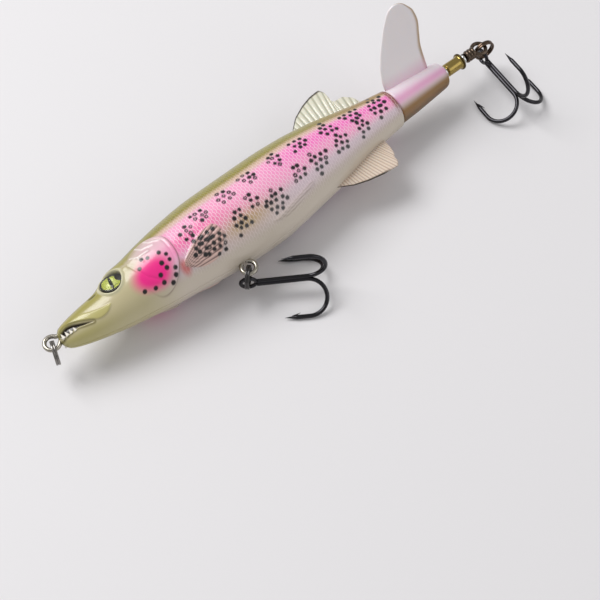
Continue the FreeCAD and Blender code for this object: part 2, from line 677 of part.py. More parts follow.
def hang(ring_body, eye, degrees):
    """Hangs a split ring straight down in a wire eye, leaving it in the given direction.
    Returns the centre of the eye of whatever hangs in the ring's lower side."""
    out = V(math.cos(math.radians(degrees)), math.sin(math.radians(degrees)), 0)
    held = eye + out * EYE_RING
    drop = size("split_inner") - size("link_clear") - WIRE
    centre = held - Z_AXIS * drop
    upright_turn = FreeCAD.Rotation(X_AXIS, 90)
    ring_body.Placement = FreeCAD.Placement(centre, FreeCAD.Rotation(Z_AXIS, degrees)
                                            * upright_turn)
    return centre - Z_AXIS * (size("split_inner") + size("split_thick") / 2)


tie_ring = split_ring("nose_split_ring")
belly_ring = split_ring("belly_split_ring")
rear_ring = split_ring("rear_split_ring")
hang(tie_ring, TIE_EYE, size("tie_ring_turn"))
BELLY_HOOK_EYE = hang(belly_ring, HANGER_EYE, size("belly_ring_turn"))
REAR_HOOK_EYE = hang(rear_ring, V(LOOP_X, 0, 0), size("rear_ring_turn"))

# ---------------------------------------------------------------- treble hooks

BEND_X = "(dims.hook_length - dims.hook_wire - dims.hook_bend)"
SHANK_Z = "(dims.hook_wire * 0.85)"
LEG_Z = "(%s + 2 * dims.hook_bend)" % SHANK_Z
LEG_X = "(%s - dims.hook_leg)" % BEND_X
SHANK_START = "(dims.hook_eye_rad + dims.hook_wire * 0.3)"


def flat_sided(sketch, across, up, radius):
    """A wire's section in a sketch, drawn with flats about a centre given as expressions."""
    turns = [2 * math.pi * (k + 0.5) / WIRE_SIDES for k in range(WIRE_SIDES)]
    closed_outline(sketch, [("%s + %s * %.5f" % (across, radius, math.cos(a)),
                             "%s + %s * %.5f" % (up, radius, math.sin(a))) for a in turns])


def wire_section(body, name, along, across):
    """The wire's section, square to the shank at one station."""
    sketch = sketch_on(body, name, "YZ_Plane")
    sketch.setExpression("AttachmentOffset.Base.z", along)
    flat_sided(sketch, "0 * dims.hook_wire", across, "dims.hook_wire")
    return sketch


def axis_line(sketch, start, end):
    """A construction line between two points given as pairs of expressions."""
    places = [(worked_out(x), worked_out(y)) for x, y in (start, end)]
    line = sketch.addGeometry(Part.LineSegment(V(places[0][0][0], places[0][1][0], 0),
                                               V(places[1][0][0], places[1][1][0], 0)), True)
    bind_point(sketch, line, 1, places[0])
    bind_point(sketch, line, 2, places[1])


def revolve(body, name, sketch, axis, degrees):
    """Turns a sketch about one of its own axes."""
    turn = body.newObject("PartDesign::Revolution", name)
    turn.Profile = sketch
    turn.ReferenceAxis = (sketch, [axis])
    turn.Angle = degrees
    return turn


def straight(body, name, sketch, length):
    """Pads a sketch to a length given as an expression."""
    bar = body.newObject("PartDesign::Pad", name)
    bar.Profile = sketch
    bar.setExpression("Length", length)
    return bar


def treble_hook(name):
    """Three hooks about one shank, which runs along +X from its eye; the first points up."""
    body = new_body(name)
    eye = sketch_on(body, name + "_eye_section", "XY_Plane")
    flat_sided(eye, "-dims.hook_eye_rad", "0 * dims.hook_wire", "dims.hook_wire * 0.94")
    revolve(body, name + "_eye", eye, "V_Axis", 360)
    shank = straight(body, name + "_shank",
                     wire_section(body, name + "_shank_section", SHANK_START, SHANK_Z),
                     "%s - %s" % (BEND_X, SHANK_START))
    bend_section = wire_section(body, name + "_bend_section", BEND_X, SHANK_Z)
    middle = SHANK_Z + " + dims.hook_bend"
    axis_line(bend_section, ("-dims.hook_bend", middle), ("dims.hook_bend", middle))
    bend = revolve(body, name + "_bend", bend_section, "Axis0", 180)
    bend.Reversed = True
    leg = straight(body, name + "_leg",
                   wire_section(body, name + "_leg_section", LEG_X, LEG_Z), "dims.hook_leg")
    point_outline = sketch_on(body, name + "_point_outline", "XZ_Plane")
    closed_outline(point_outline, [
        (LEG_X + " - dims.hook_point", LEG_Z), (LEG_X, LEG_Z),
        (LEG_X, LEG_Z + " - dims.hook_wire")])
    axis_line(point_outline, (LEG_X + " - dims.hook_point", LEG_Z), (LEG_X, LEG_Z))
    point = revolve(body, name + "_point", point_outline, "Axis0", 360)
    barb_outline = sketch_on(body, name + "_barb_outline", "XZ_Plane")
    closed_outline(barb_outline, [
        (LEG_X + " - dims.barb_length", LEG_Z + " - dims.hook_wire * 0.3"),
        (LEG_X, LEG_Z + " - dims.hook_wire * 0.3"),
        (LEG_X + " + dims.barb_length", LEG_Z + " - dims.hook_wire - dims.barb_height")])
    barb = straight(body, name + "_barb", barb_outline, "dims.hook_wire * 0.6")
    barb.Midplane = True
    pattern = body.newObject("PartDesign::PolarPattern", name + "_set")
    pattern.Originals = [shank, bend, leg, point, barb]
    pattern.Axis = (origin_part(body, "X_Axis"), [""])
    pattern.Angle = 360
    pattern.setExpression("Occurrences", "dims.hook_count")
    body.Tip = pattern
    return body


belly_treble = treble_hook("belly_treble_hook")
rear_treble = treble_hook("rear_treble_hook")
belly_treble.Placement = FreeCAD.Placement(
    BELLY_HOOK_EYE, FreeCAD.Rotation(Z_AXIS, size("belly_hook_turn")))
rear_treble.Placement = FreeCAD.Placement(
    REAR_HOOK_EYE, FreeCAD.Rotation(Z_AXIS, size("rear_hook_turn")))

# ---------------------------------------------------------------- pieces inside the body

def ballast(name):
    """A turned steel slug with broken edges, lying along the belly in its own chamber."""
    start = "dims.%s_x" % name
    stop = "%s + dims.%s_length" % (start, name)
    radius = "dims.%s_rad" % name
    body = turned(name, [
        (start, "0"), (stop, "0"), (stop, radius + " - dims.ballast_break"),
        (stop + " - dims.ballast_break", radius), (start + " + dims.ballast_break", radius),
        (start, radius + " - dims.ballast_break")])
    first = size(name + "_x")
    last = first + size(name + "_length")
    floor = max(outline_at(first)[1], outline_at(last)[1]) + WALL
    body.Placement = FreeCAD.Placement(
        V(0, floor + size(name + "_rad") + size("ballast_clear"), 0), FreeCAD.Rotation())
    return body


front_ballast = ballast("front_ballast")
rear_ballast = ballast("rear_ballast")

rattle_ball = doc.addObject("Part::Sphere", "rattle_ball")
rattle_ball.Label = "rattle_ball"
rattle_ball.setExpression("Radius", "dims.rattle_rad")
rattle_ball.Placement.Base = V(RATTLE_LOW + size("side_clear") + size("rattle_rad"), 0, RATTLE_Z)

# ---------------------------------------------------------------- placing and writing out

doc.recompute()
HOME = FreeCAD.Placement(V(size("nose_x"), size("axis_y"), AXIS_HEIGHT), FreeCAD.Rotation())
NODES = ["left_shell", "right_shell", "left_eye_foil", "left_eye_dome", "right_eye_foil",
         "right_eye_dome", "line_tie", "belly_hanger", "tail_shaft", "front_ballast",
         "rear_ballast", "rattle_ball", "front_washer", "rotating_tail", "brass_sleeve",
         "rear_bead", "nose_split_ring", "belly_split_ring", "belly_treble_hook",
         "rear_split_ring", "rear_treble_hook"]
rotating_tail.Placement = FreeCAD.Placement(V(0, 0, 0),
                                            FreeCAD.Rotation(X_AXIS, size("blade_turn")))
for name in NODES:
    node = doc.getObject(name)
    node.Placement = HOME * node.Placement
doc.recompute()

for obj in doc.Objects:
    if "Invalid" in obj.State or "Error" in obj.State:
        raise RuntimeError("%s failed: %s" % (obj.Name, obj.State))
os.makedirs("parts", exist_ok=True)
for name in NODES:
    node = doc.getObject(name)
    if node.Shape.isNull() or not node.Shape.isValid():
        raise RuntimeError("%s has no valid shape" % name)
    node.Shape.exportStep(os.path.join("parts", node.Label + ".step"))
    box = node.Shape.BoundBox
    print("%-20s %8.1f mm3  x %7.2f %7.2f  y %7.2f %7.2f  z %7.2f %7.2f" % (
        node.Label, node.Shape.Volume, box.XMin, box.XMax, box.YMin, box.YMax, box.ZMin, box.ZMax))
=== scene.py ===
import json
import math

import bmesh
import bpy
import numpy as np
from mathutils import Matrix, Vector


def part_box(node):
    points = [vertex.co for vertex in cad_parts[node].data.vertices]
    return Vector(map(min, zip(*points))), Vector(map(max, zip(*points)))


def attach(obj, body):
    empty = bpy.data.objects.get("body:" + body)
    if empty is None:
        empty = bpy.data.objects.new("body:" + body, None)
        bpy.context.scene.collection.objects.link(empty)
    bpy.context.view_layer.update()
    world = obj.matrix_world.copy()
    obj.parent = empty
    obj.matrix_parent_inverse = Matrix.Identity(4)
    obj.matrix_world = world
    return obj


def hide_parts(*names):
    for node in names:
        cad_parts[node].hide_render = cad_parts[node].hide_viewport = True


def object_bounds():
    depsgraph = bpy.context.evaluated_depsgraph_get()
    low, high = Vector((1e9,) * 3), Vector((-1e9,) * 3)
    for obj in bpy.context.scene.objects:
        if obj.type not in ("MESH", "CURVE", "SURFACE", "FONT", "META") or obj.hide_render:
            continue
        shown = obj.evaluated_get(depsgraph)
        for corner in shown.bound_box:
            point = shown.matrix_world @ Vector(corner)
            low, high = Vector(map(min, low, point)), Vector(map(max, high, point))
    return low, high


bl_info = {
    "name": "Rotating-tail lure",
    "version": (1, 0, 0),
    "blender": (4, 5, 0),
    "location": "3D View > Sidebar > Lure",
    "description": "Dresses a fish-shaped topwater lure: painted skin, fins, tail and hooks",
    "category": "Add Mesh",
}

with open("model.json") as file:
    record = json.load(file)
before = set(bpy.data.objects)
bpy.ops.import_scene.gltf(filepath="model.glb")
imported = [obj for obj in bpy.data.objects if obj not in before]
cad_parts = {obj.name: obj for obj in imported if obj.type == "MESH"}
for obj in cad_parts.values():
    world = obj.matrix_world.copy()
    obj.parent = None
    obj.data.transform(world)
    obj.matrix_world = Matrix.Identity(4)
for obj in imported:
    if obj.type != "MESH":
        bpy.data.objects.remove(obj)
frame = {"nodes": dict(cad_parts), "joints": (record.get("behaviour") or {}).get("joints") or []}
CAD_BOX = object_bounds()
MM = 0.001


# ---- places and sizes, in millimetres

def node_middle(node):
    """Middle of a CAD node's box, in millimetres."""
    low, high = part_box(node)
    return np.array((low + high) / 2) / MM


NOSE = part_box("left_shell")[0].x / MM
AXIS = node_middle("front_washer")[1:]
ORIGIN = np.array([NOSE, AXIS[0], AXIS[1]])
SIDES = ((1, "left"), (-1, "right"))
LENGTH = 97.0
# The nose's rounded stretch, and the stepped recess in the rear end.
BLUNT = 1.3
RECESS = 1.8
RECESS_RADIUS = 3.9
SHAFT_HOLE = 0.6
# How far the eye looks up, as a sine. Its radii: the socket's rim, foil and lens.
EYE_RISE = 0.4
SOCKET_RIM = 3.0
FOIL = 2.6
LENS = 2.58
# Bent wires: their radius, their eyes' radius, half the distance between their two ends, and the
# middle of the line tie's eye.
WIRE = 0.5
WIRE_EYE = 1.7
NECK = 0.42
TIE = np.array([-1.5, -0.6, 0])
# Split rings: mean radius, half the distance between coils, and in degrees where the wire starts,
# how far it is wound and where it steps to the second coil. Hooks: radii of the eye and its wire.
RING_RADIUS = 2.5
COIL_SHIFT = 0.27
RING_START = 25
RING_WOUND = 715
RING_STEP = 357
HOOK_EYE = 1.75
HOOK_EYE_WIRE = 0.46
# Scales, and the spots in a cluster: how far apart they are, and how far a spot is shaken.
SCALE_PITCH = 1.32
SPOT_PITCH = 1.46
SPOT_SHAKE = 0.24

# Stations of the body, nose to tail: place, back above the axis, belly below it, half width.
STATIONS = np.array([
    (0.00, 0.71, 3.37, 1.62), (2.52, 1.60, 4.64, 2.79), (6.98, 2.41, 6.03, 3.87),
    (11.54, 3.02, 7.08, 4.77), (14.55, 4.20, 7.66, 5.58), (17.46, 5.54, 8.12, 6.30),
    (19.98, 5.73, 8.47, 6.93), (26.00, 6.97, 9.40, 7.74), (32.98, 8.21, 10.09, 8.28),
    (42.00, 9.20, 11.14, 8.82), (51.99, 9.45, 11.60, 9.00), (60.04, 9.55, 11.02, 8.96),
    (68.00, 9.26, 9.86, 8.60), (76.05, 8.40, 8.64, 7.70), (84.00, 6.90, 6.96, 6.48),
    (90.99, 5.54, 5.80, 5.58), (97.00, 4.63, 4.99, 5.09)])

# Outlines of the details on the flank, as places along the body and heights above the axis.
OUTLINES = {
    "gill": [(21.6, 2.6), (26.3, 3.9), (30.4, 2.2), (31.1, -1.6), (30.0, -5.6), (26.6, -8.2),
             (22.6, -8.0), (20.6, -4.0)],
    "pectoral": [(30.6, -6.7), (33.2, -4.7), (37.0, -3.3), (40.6, -2.9), (41.9, -4.6),
                 (41.4, -7.0), (38.6, -8.9), (34.2, -8.7)],
    "pelvic": [(53.4, -9.7), (57.0, -9.0), (62.5, -7.9), (66.0, -7.1), (66.3, -7.8), (62.0, -9.3),
               (57.0, -10.2)],
    "mouth": [(0.2, -1.0), (2.05, -0.45), (3.5, -0.95), (4.9, -1.9), (6.3, -2.8), (7.9, -3.9),
              (5.9, -3.3), (4.5, -2.75), (3.0, -2.55), (0.65, -2.3)],
    "jaw_plate": [(2.6, -0.3), (6.4, -0.7), (8.6, -1.8), (10.9, -2.6), (13.0, -3.3), (11.6, -4.3),
                  (9.2, -4.3), (7.0, -2.9), (5.0, -1.7)]}
DORSAL = [(74.2, 8.6), (74.9, 10.0), (77.8, 12.5), (81.3, 14.2), (84.4, 15.15), (87.4, 15.4),
          (88.1, 13.8), (87.7, 10.9), (88.4, 10.3), (90.6, 10.2), (92.4, 8.4), (93.1, 5.2)]
ANAL = [(72.3, -9.0), (76.0, -11.25), (79.6, -12.45), (83.5, -13.25), (87.5, -13.55),
        (88.45, -12.3), (88.4, -11.2), (89.2, -10.2), (89.6, -8.6), (89.7, -6.2)]

# Lines on the head: creases of the gill cover, the cheek's front edge and the ridge above it. Then
# where a paired fin's rays come from, and how many there are in a full circle.
CREASES = [[(22.2, 2.2), (23.4, 0.9), (26.2, 0.4)], [(24.6, 3.4), (25.3, 1.9), (27.9, 1.1)],
           [(27.0, 3.2), (27.6, 2.2), (29.9, 1.0)], [(23.4, 0.9), (23.9, -0.8)]]
CHEEK_LINE = [(20.4, 2.5), (21.3, -1.0), (22.6, -4.2), (25.0, -6.6)]
RIDGE_LINE = [(19.0, 1.2), (22.5, 1.4), (26.0, 0.6)]
PECTORAL_RAYS = ((27.2, -7.6), 96)
PELVIC_RAYS = ((44.0, -12.0), 260)

# Heights of the moulded details over the skin. A line's or a rim's height comes with its half
# width, and a paired fin's with the height of its rays.
GILL_RISE = 0.5
GILL_GROOVE = (0.10, 0.18)
LINE_RISES = [(-0.12, 0.22, CHEEK_LINE), *((0.10, 0.2, crease) for crease in CREASES),
              (0.16, 0.45, RIDGE_LINE)]
PECTORAL_RISE = (0.34, 0.11)
PELVIC_RISE = (0.22, 0.07)
JAW_PLATE_RISE = 0.26
MOUTH_DEPTH = 0.85
NOSTRIL_DEPTH = 0.22
SOCKET_RISE = (0.32, 0.3)
SOCKET_DEPTH = 0.95
SEAM_GROOVE = 0.12

# Stations of the pieces on the shaft, front to back. HUB_SEAT is the hub's front inside the body.
SHAFT_GAP = 0.15
SHAFT_START = 84.0
HUB = 97.35
HUB_SEAT = HUB - 1.35
HUB_END = HUB + 16.4
SLEEVE_END = HUB_END + 6.1
BEAD = SLEEVE_END + SHAFT_GAP
BEAD_LENGTH = 1.2
WRAP = BEAD + BEAD_LENGTH + SHAFT_GAP
WRAP_PITCH = 0.95
WRAP_TURNS = 3
LOOP = WRAP + 2 * WIRE + 2 * WRAP_PITCH + WIRE_EYE


def srgb(red, green, blue):
    """A colour written as it looks, in 0 to 255, made linear."""
    value = np.array([red, green, blue], float) / 255
    return tuple(np.where(value <= 0.04045, value / 12.92, ((value + 0.055) / 1.055) ** 2.4))


def placed(points):
    """Points about the lure's axis, in millimetres, as places in the part's frame, in metres."""
    return (np.asarray(points, float) + ORIGIN) * MM


def smooth_through(x, known, values):
    """A smooth curve through known values, as a cubic between each two, whose slope at a value is
    the harmonic mean of the slopes beside it, or level at a peak."""
    known, values = np.asarray(known, float), np.asarray(values, float)
    step = np.diff(known)
    rise = np.diff(values) / step
    slope = np.zeros(len(known))
    left, right = rise[:-1], rise[1:]
    same = left * right > 0
    slope[1:-1][same] = 2 * left[same] * right[same] / (left[same] + right[same])
    slope[0], slope[-1] = rise[0], rise[-1]
    x = np.clip(x, known[0], known[-1])
    i = np.clip(np.searchsorted(known, x, side="right") - 1, 0, len(step) - 1)
    h = step[i]
    t = (x - known[i]) / h
    return ((2 * t ** 3 - 3 * t ** 2 + 1) * values[i] + (t ** 3 - 2 * t ** 2 + t) * h * slope[i]
            + (3 * t ** 2 - 2 * t ** 3) * values[i + 1] + (t ** 3 - t ** 2) * h * slope[i + 1])


def step_up(low, high, x):
    """0 below low, 1 above high, and a smooth S between them."""
    t = np.clip((np.asarray(x, float) - low) / (high - low), 0, 1)
    return t * t * (3 - 2 * t)


def bell(distance, width):
    """A bell curve: 1 at no distance, and 0.37 at its half width."""
    return np.exp(-(distance / width) ** 2)


def cos_sin(degrees):
    return math.cos(math.radians(degrees)), math.sin(math.radians(degrees))


def rounded_loop(corners, each=8):
    """A closed smooth curve through corners: each stretch is a cubic whose slopes at its ends run
    parallel to the line between the neighbours."""
    p = np.asarray(corners, float)
    before, after, beyond = np.roll(p, 1, 0), np.roll(p, -1, 0), np.roll(p, -2, 0)
    t = np.linspace(0, 1, each, endpoint=False)[None, :, None]
    p, before, after, beyond = (a[:, None, :] for a in (p, before, after, beyond))
    curve = 0.5 * (2 * p + (after - before) * t + (2 * before - 5 * p + 4 * after - beyond) * t ** 2
                   + (3 * p - before - 3 * after + beyond) * t ** 3)
    return curve.reshape(-1, 2)


def stretches(x, y, starts, ends):
    """Points as one row each, the stretches' runs, and each point's distance to the nearest one."""
    q = np.stack([x.ravel(), y.ravel()], -1)[:, None, :]
    run = ends - starts
    along = np.clip(((q - starts) * run).sum(-1) / (run * run).sum(-1), 0, 1)
    return q, run, np.sqrt((((q - starts) - along[..., None] * run) ** 2).sum(-1).min(1))


def depth_inside(x, y, loop):
    """Distance in from a closed outline's edge, negative outside it: the shortest distance to its
    stretches, with its sign from how often a line to the right crosses them."""
    a, b = loop, np.roll(loop, -1, 0)
    q, run, near = stretches(x, y, a, b)
    crossing = (a[:, 1] > q[..., 1]) != (b[:, 1] > q[..., 1])
    rise = np.where(run[:, 1] == 0, 1e-9, run[:, 1])
    right = q[..., 0] < a[:, 0] + (q[..., 1] - a[:, 1]) * run[:, 0] / rise
    inside = (crossing & right).sum(1) % 2 == 1
    return np.where(inside, near, -near).reshape(x.shape)


def near_line(x, y, line):
    """Shortest distance to an open line of stretches."""
    line = np.asarray(line, float)
    return stretches(x, y, line[:-1], line[1:])[2].reshape(x.shape)


# ---- meshes

def grid_faces(rows, columns, ring):
    """Corner numbers of a grid's four-sided faces. The columns close on themselves, and so do the
    rows of a ring."""
    number = np.arange(rows * columns).reshape(rows, columns)
    if ring:
        number = np.vstack([number, number[:1]])
    number = np.hstack([number, number[:, :1]])
    return np.stack([number[:-1, :-1], number[1:, :-1], number[1:, 1:], number[:-1, 1:]],
                    -1).reshape(-1, 4)


def linked(name, data):
    """A new object of the scene."""
    new = bpy.data.objects.new(name, data)
    bpy.context.scene.collection.objects.link(new)
    return new


def surface(name, grids, body, finish, replaces=(), paint=None, flow=None, ring=False):
    """A smooth piece from one or more closed grids of points about the lure's axis, in a finish by
    its plain name. Faces are turned outwards by the sign of the enclosed volume, and doubled
    corners at poles and seams are joined. paint and flow are a colour and three numbers at each
    corner."""
    corners, faces, base = [], [], 0
    for points in grids:
        rows, columns = points.shape[:2]
        flat = points.reshape(-1, 3)
        quads = grid_faces(rows, columns, ring)
        a, b, c, d = (flat[quads[:, i]] for i in range(4))
        volume = (a * np.cross(b, c)).sum() + (a * np.cross(c, d)).sum()
        corners.append(flat)
        faces.append((quads if volume > 0 else quads[:, ::-1]) + base)
        base += len(flat)
    mesh = bpy.data.meshes.new(name)
    mesh.from_pydata(placed(np.vstack(corners)), [], np.vstack(faces))
    if paint is not None:
        colours = np.ones((base, 4), np.float32)
        colours[:, :3] = np.asarray(paint).reshape(-1, 3)
        layer = mesh.color_attributes.new("paint", "FLOAT_COLOR", "POINT")
        layer.data.foreach_set("color", colours.ravel())
    if flow is not None:
        layer = mesh.attributes.new("flow", "FLOAT_VECTOR", "POINT")
        layer.data.foreach_set("vector", np.asarray(flow, np.float32).ravel())
    joined = bmesh.new()
    joined.from_mesh(mesh)
    bmesh.ops.remove_doubles(joined, verts=joined.verts, dist=2e-6)
    bmesh.ops.dissolve_degenerate(joined, edges=joined.edges, dist=1e-7)
    joined.to_mesh(mesh)
    joined.free()
    mesh.polygons.foreach_set("use_smooth", np.ones(len(mesh.polygons), bool))
    mesh.materials.append(MATERIALS[finish])
    mesh.update()
    piece = linked(name, mesh)
    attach(piece, body)
    if replaces:
        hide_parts(*replaces)
    return piece


def capped(rows, first, last):
    """A grid with one more row at each end, all of it at one point, which closes the end."""
    around = rows.shape[1]
    return np.concatenate([np.repeat([[first]], around, 1), rows, np.repeat([[last]], around, 1)])


def turned(profile, around=48):
    """A surface of revolution about the lure's axis: a profile of places along the axis and radii,
    carried round it."""
    profile = np.asarray(profile, float)
    angle = np.linspace(0, 2 * math.pi, around, endpoint=False)
    x = np.repeat(profile[:, :1], around, 1)
    return np.stack([x, profile[:, 1:] * np.cos(angle), profile[:, 1:] * np.sin(angle)], -1)


def softened(profile, radius, each=5):
    """A closed profile with its corners rounded: each corner becomes a short curve between points
    at most radius away on its two sides."""
    p = np.asarray(profile, float)
    before, after = np.roll(p, 1, 0) - p, np.roll(p, -1, 0) - p
    long_before = np.linalg.norm(before, axis=1, keepdims=True)
    long_after = np.linalg.norm(after, axis=1, keepdims=True)
    start = p + before / long_before * np.minimum(radius, long_before * 0.45)
    stop = p + after / long_after * np.minimum(radius, long_after * 0.45)
    t = np.linspace(0, 1, each)[None, :, None]
    curve = ((1 - t) ** 2 * start[:, None] + 2 * t * (1 - t) * p[:, None] + t ** 2 * stop[:, None])
    return curve.reshape(-1, 2)


def carried_frames(path):
    """Two directions square to a path at each of its points. The first is turned along the path as
    little as it can be."""
    tangent = np.gradient(path, axis=0)
    tangent /= np.linalg.norm(tangent, axis=1, keepdims=True)
    side = np.cross(tangent[0], (0, 0, 1.0))
    if np.linalg.norm(side) < 0.1:
        side = np.cross(tangent[0], (0, 1.0, 0))
    sides = []
    for direction in tangent:
        side = side - direction * (side @ direction)
        side = side / np.linalg.norm(side)
        sides.append(side)
    sides = np.array(sides)
    return sides, np.cross(tangent, sides)


def tube(path, radius, around=14):
    """Round wire along a path. The radius may change along it, and both ends are closed."""
    path = np.asarray(path, float)
    sides, ups = carried_frames(path)
    radius = np.broadcast_to(radius, (len(path),))[:, None, None]
    angle = np.linspace(0, 2 * math.pi, around, endpoint=False)[None, :, None]
    rings = path[:, None] + radius * (np.cos(angle) * sides[:, None] + np.sin(angle) * ups[:, None])
    return capped(rings, path[0], path[-1])


def circle_path(centre, radius, start, stop, steps, across=(1, 0, 0), up=(0, 1, 0)):
    """Points on an arc from one angle to another, in degrees, in the plane of two directions."""
    angle = np.radians(np.linspace(start, stop, steps))[:, None]
    return (np.asarray(centre, float) + radius * (np.cos(angle) * np.asarray(across, float)
                                                  + np.sin(angle) * np.asarray(up, float)))


# ---- materials

def add_node(made, kind, **values):
    """A new shader node of a material, with values at its inputs."""
    new = made.node_tree.nodes.new("ShaderNode" + kind)
    for socket, value in values.items():
        new.inputs[socket.replace("_", " ")].default_value = value
    return new


def grain_of(made, scale, detail=2.0):
    """Noise over the piece's own place, as a socket."""
    place = add_node(made, "TexCoord")
    noise = add_node(made, "TexNoise", Scale=scale, Detail=detail)
    made.node_tree.links.new(place.outputs["Object"], noise.inputs["Vector"])
    return noise.outputs["Fac"]


def material(name, base, rough, metal=0.0, coat=0.0, **shader_values):
    """A Principled material with a fine uneven finish: noise over the piece's own place changes its
    roughness a little."""
    new = bpy.data.materials.new(name)
    new.use_nodes = True
    links, shader = parts_of(new)
    shader_values.update(Base_Color=(*base, 1), Metallic=shader_values.get("Metallic", metal),
                         Roughness=rough, Coat_Weight=coat, Coat_Roughness=0.06)
    for socket, value in shader_values.items():
        shader.inputs[socket.replace("_", " ")].default_value = value
    spread = add_node(new, "MapRange", To_Min=max(rough - 0.06, 0.02), To_Max=rough + 0.08)
    links.new(grain_of(new, 900, 4), spread.inputs["Value"])
    links.new(spread.outputs["Result"], shader.inputs["Roughness"])
    return new


def parts_of(made):
    """A material's links and main shader."""
    return made.node_tree.links, made.node_tree.nodes["Principled BSDF"]


def own_values(made, name):
    """The node that reads one of the piece's own attributes."""
    new = add_node(made, "Attribute")
    new.attribute_name = name
    return new


def chain(made, operation, first, second=None):
    """One step of arithmetic between sockets or numbers."""
    step = add_node(made, "Math")
    step.operation = operation
    for i, value in enumerate((first, second)):
        if isinstance(value, (int, float)):
            step.inputs[i].default_value = value
        elif value is not None:
            made.node_tree.links.new(value, step.inputs[i])
    return step.outputs[0]


def overlapping_scales(made, along, across):
    """Fish scales laid like roof tiles: discs on a lattice of two shifted sets, where the disc
    further forward lies on top. Gives the distance from the top disc's middle, 1 at its rim."""
    reach = 0.75
    sets = []
    for shift in (0.0, 0.5):
        behind = chain(made, "FRACT", chain(made, "SUBTRACT", along, shift))
        aside = chain(made, "FRACT", chain(made, "ADD", across, shift))
        aside = chain(made, "SUBTRACT", aside, 0.5)
        away = chain(made, "SQRT", chain(made, "ADD", chain(made, "MULTIPLY", behind, behind),
                                         chain(made, "MULTIPLY", aside, aside)))
        sets.append((behind, away, chain(made, "LESS_THAN", away, reach)))
    (behind_a, away_a, over_a), (behind_b, away_b, over_b) = sets
    first = chain(made, "MAXIMUM", chain(made, "GREATER_THAN", behind_a, behind_b),
                  chain(made, "SUBTRACT", 1.0, over_b))
    first = chain(made, "MULTIPLY", first, over_a)
    away = chain(made, "ADD", chain(made, "MULTIPLY", first, away_a),
                 chain(made, "MULTIPLY", chain(made, "SUBTRACT", 1.0, first), away_b))
    return chain(made, "DIVIDE", away, reach)


def painted_skin():
    """Lacquered paint from the piece's own colours, with rows of fish scales whose rims are pale
    and stand up a little."""
    made = material("painted skin", (0.8, 0.8, 0.8), 0.3, coat=0.35)
    links, shader = parts_of(made)
    parts = add_node(made, "SeparateXYZ")
    links.new(own_values(made, "flow").outputs["Vector"], parts.inputs["Vector"])
    ramp = overlapping_scales(made, chain(made, "DIVIDE", parts.outputs["X"], SCALE_PITCH),
                              chain(made, "DIVIDE", parts.outputs["Y"], SCALE_PITCH))
    rim = add_node(made, "MapRange", From_Min=0.8, From_Max=0.97)
    rim.interpolation_type = "SMOOTHSTEP"
    links.new(ramp, rim.inputs["Value"])
    pale = chain(made, "MULTIPLY", chain(made, "MULTIPLY", rim.outputs["Result"], 0.85),
                 parts.outputs["Z"])
    mix = add_node(made, "Mix")
    mix.data_type = "RGBA"
    mix.inputs["B"].default_value = (*srgb(252, 238, 240), 1)
    links.new(pale, mix.inputs["Factor"])
    links.new(own_values(made, "paint").outputs["Color"], mix.inputs["A"])
    links.new(mix.outputs["Result"], shader.inputs["Base Color"])
    bump = add_node(made, "Bump", Strength=0.5, Distance=0.00018)
    links.new(chain(made, "MULTIPLY", ramp, parts.outputs["Z"]), bump.inputs["Height"])
    links.new(bump.outputs["Normal"], shader.inputs["Normal"])
    return made


def painted_plain(name, rough, coat=0.3, **shader_values):
    """Paint or moulded colour from the piece's own colours."""
    made = material(name, (0.8, 0.8, 0.8), rough, coat=coat, **shader_values)
    links, shader = parts_of(made)
    links.new(own_values(made, "paint").outputs["Color"], shader.inputs["Base Color"])
    return made


def drawn_metal(name, base, rough):
    """Metal with fine uneven brightness, as on plated wire."""
    made = material(name, base, rough, metal=1.0)
    links, shader = parts_of(made)
    shade = add_node(made, "ValToRGB")
    for element, share in zip(shade.color_ramp.elements, (0.75, 1.15)):
        element.color = (*(min(part * share, 1) for part in base), 1)
    links.new(grain_of(made, 350), shade.inputs["Fac"])
    links.new(shade.outputs["Color"], shader.inputs["Base Color"])
    return made


# ---- the painted body

def body_at(along):
    """Back height, belly depth and half width of the body at places along it."""
    return [smooth_through(along, STATIONS[:, 0], STATIONS[:, i]) for i in (1, 2, 3)]


def body_form(along, angle, side):
    """The body's oval skin: at each station the height is the middle plus half the depth times the
    cosine of the angle from the back, and the width is the half width times its sine. The first
    stretch is rounded off to a blunt nose."""
    back, belly, half = body_at(along)
    blunt = np.sqrt(np.clip(1 - (1 - np.clip(along / BLUNT, 0, 1)) ** 2, 0, 1))
    middle = (back - belly) / 2
    depth = (back + belly) / 2 * blunt
    return np.stack([along, middle + depth * np.cos(angle), side * half * blunt * np.sin(angle)],
                    -1)


def outward(points, side):
    """Unit normals of a grid of points, turned away from the lure's axis."""
    normal = np.cross(np.gradient(points, axis=1), np.gradient(points, axis=0)) * side
    return normal / np.maximum(np.linalg.norm(normal, axis=-1, keepdims=True), 1e-9)


def eye_place(side):
    """Centre of the fish's eye and the direction it faces."""
    centre = node_middle("left_eye_foil" if side > 0 else "right_eye_foil")
    centre = centre - ORIGIN
    back, belly, half = body_at(centre[0])
    out = math.sqrt(1 - EYE_RISE ** 2)
    facing = np.array([0, EYE_RISE / ((back + belly) / 2), side * out / half])
    return centre, facing / np.linalg.norm(facing)


def eye_distance(points, side):
    """Distance from the eye's own axis."""
    centre, facing = eye_place(side)
    away = points - centre
    return np.linalg.norm(away - (away @ facing)[..., None] * facing, axis=-1)


def ray_wave(x, y, root, count):
    """Ridges that fan out from a fin's root: a cosine of the direction from the root."""
    return np.cos(count * np.arctan2(y - root[1], x - root[0]))


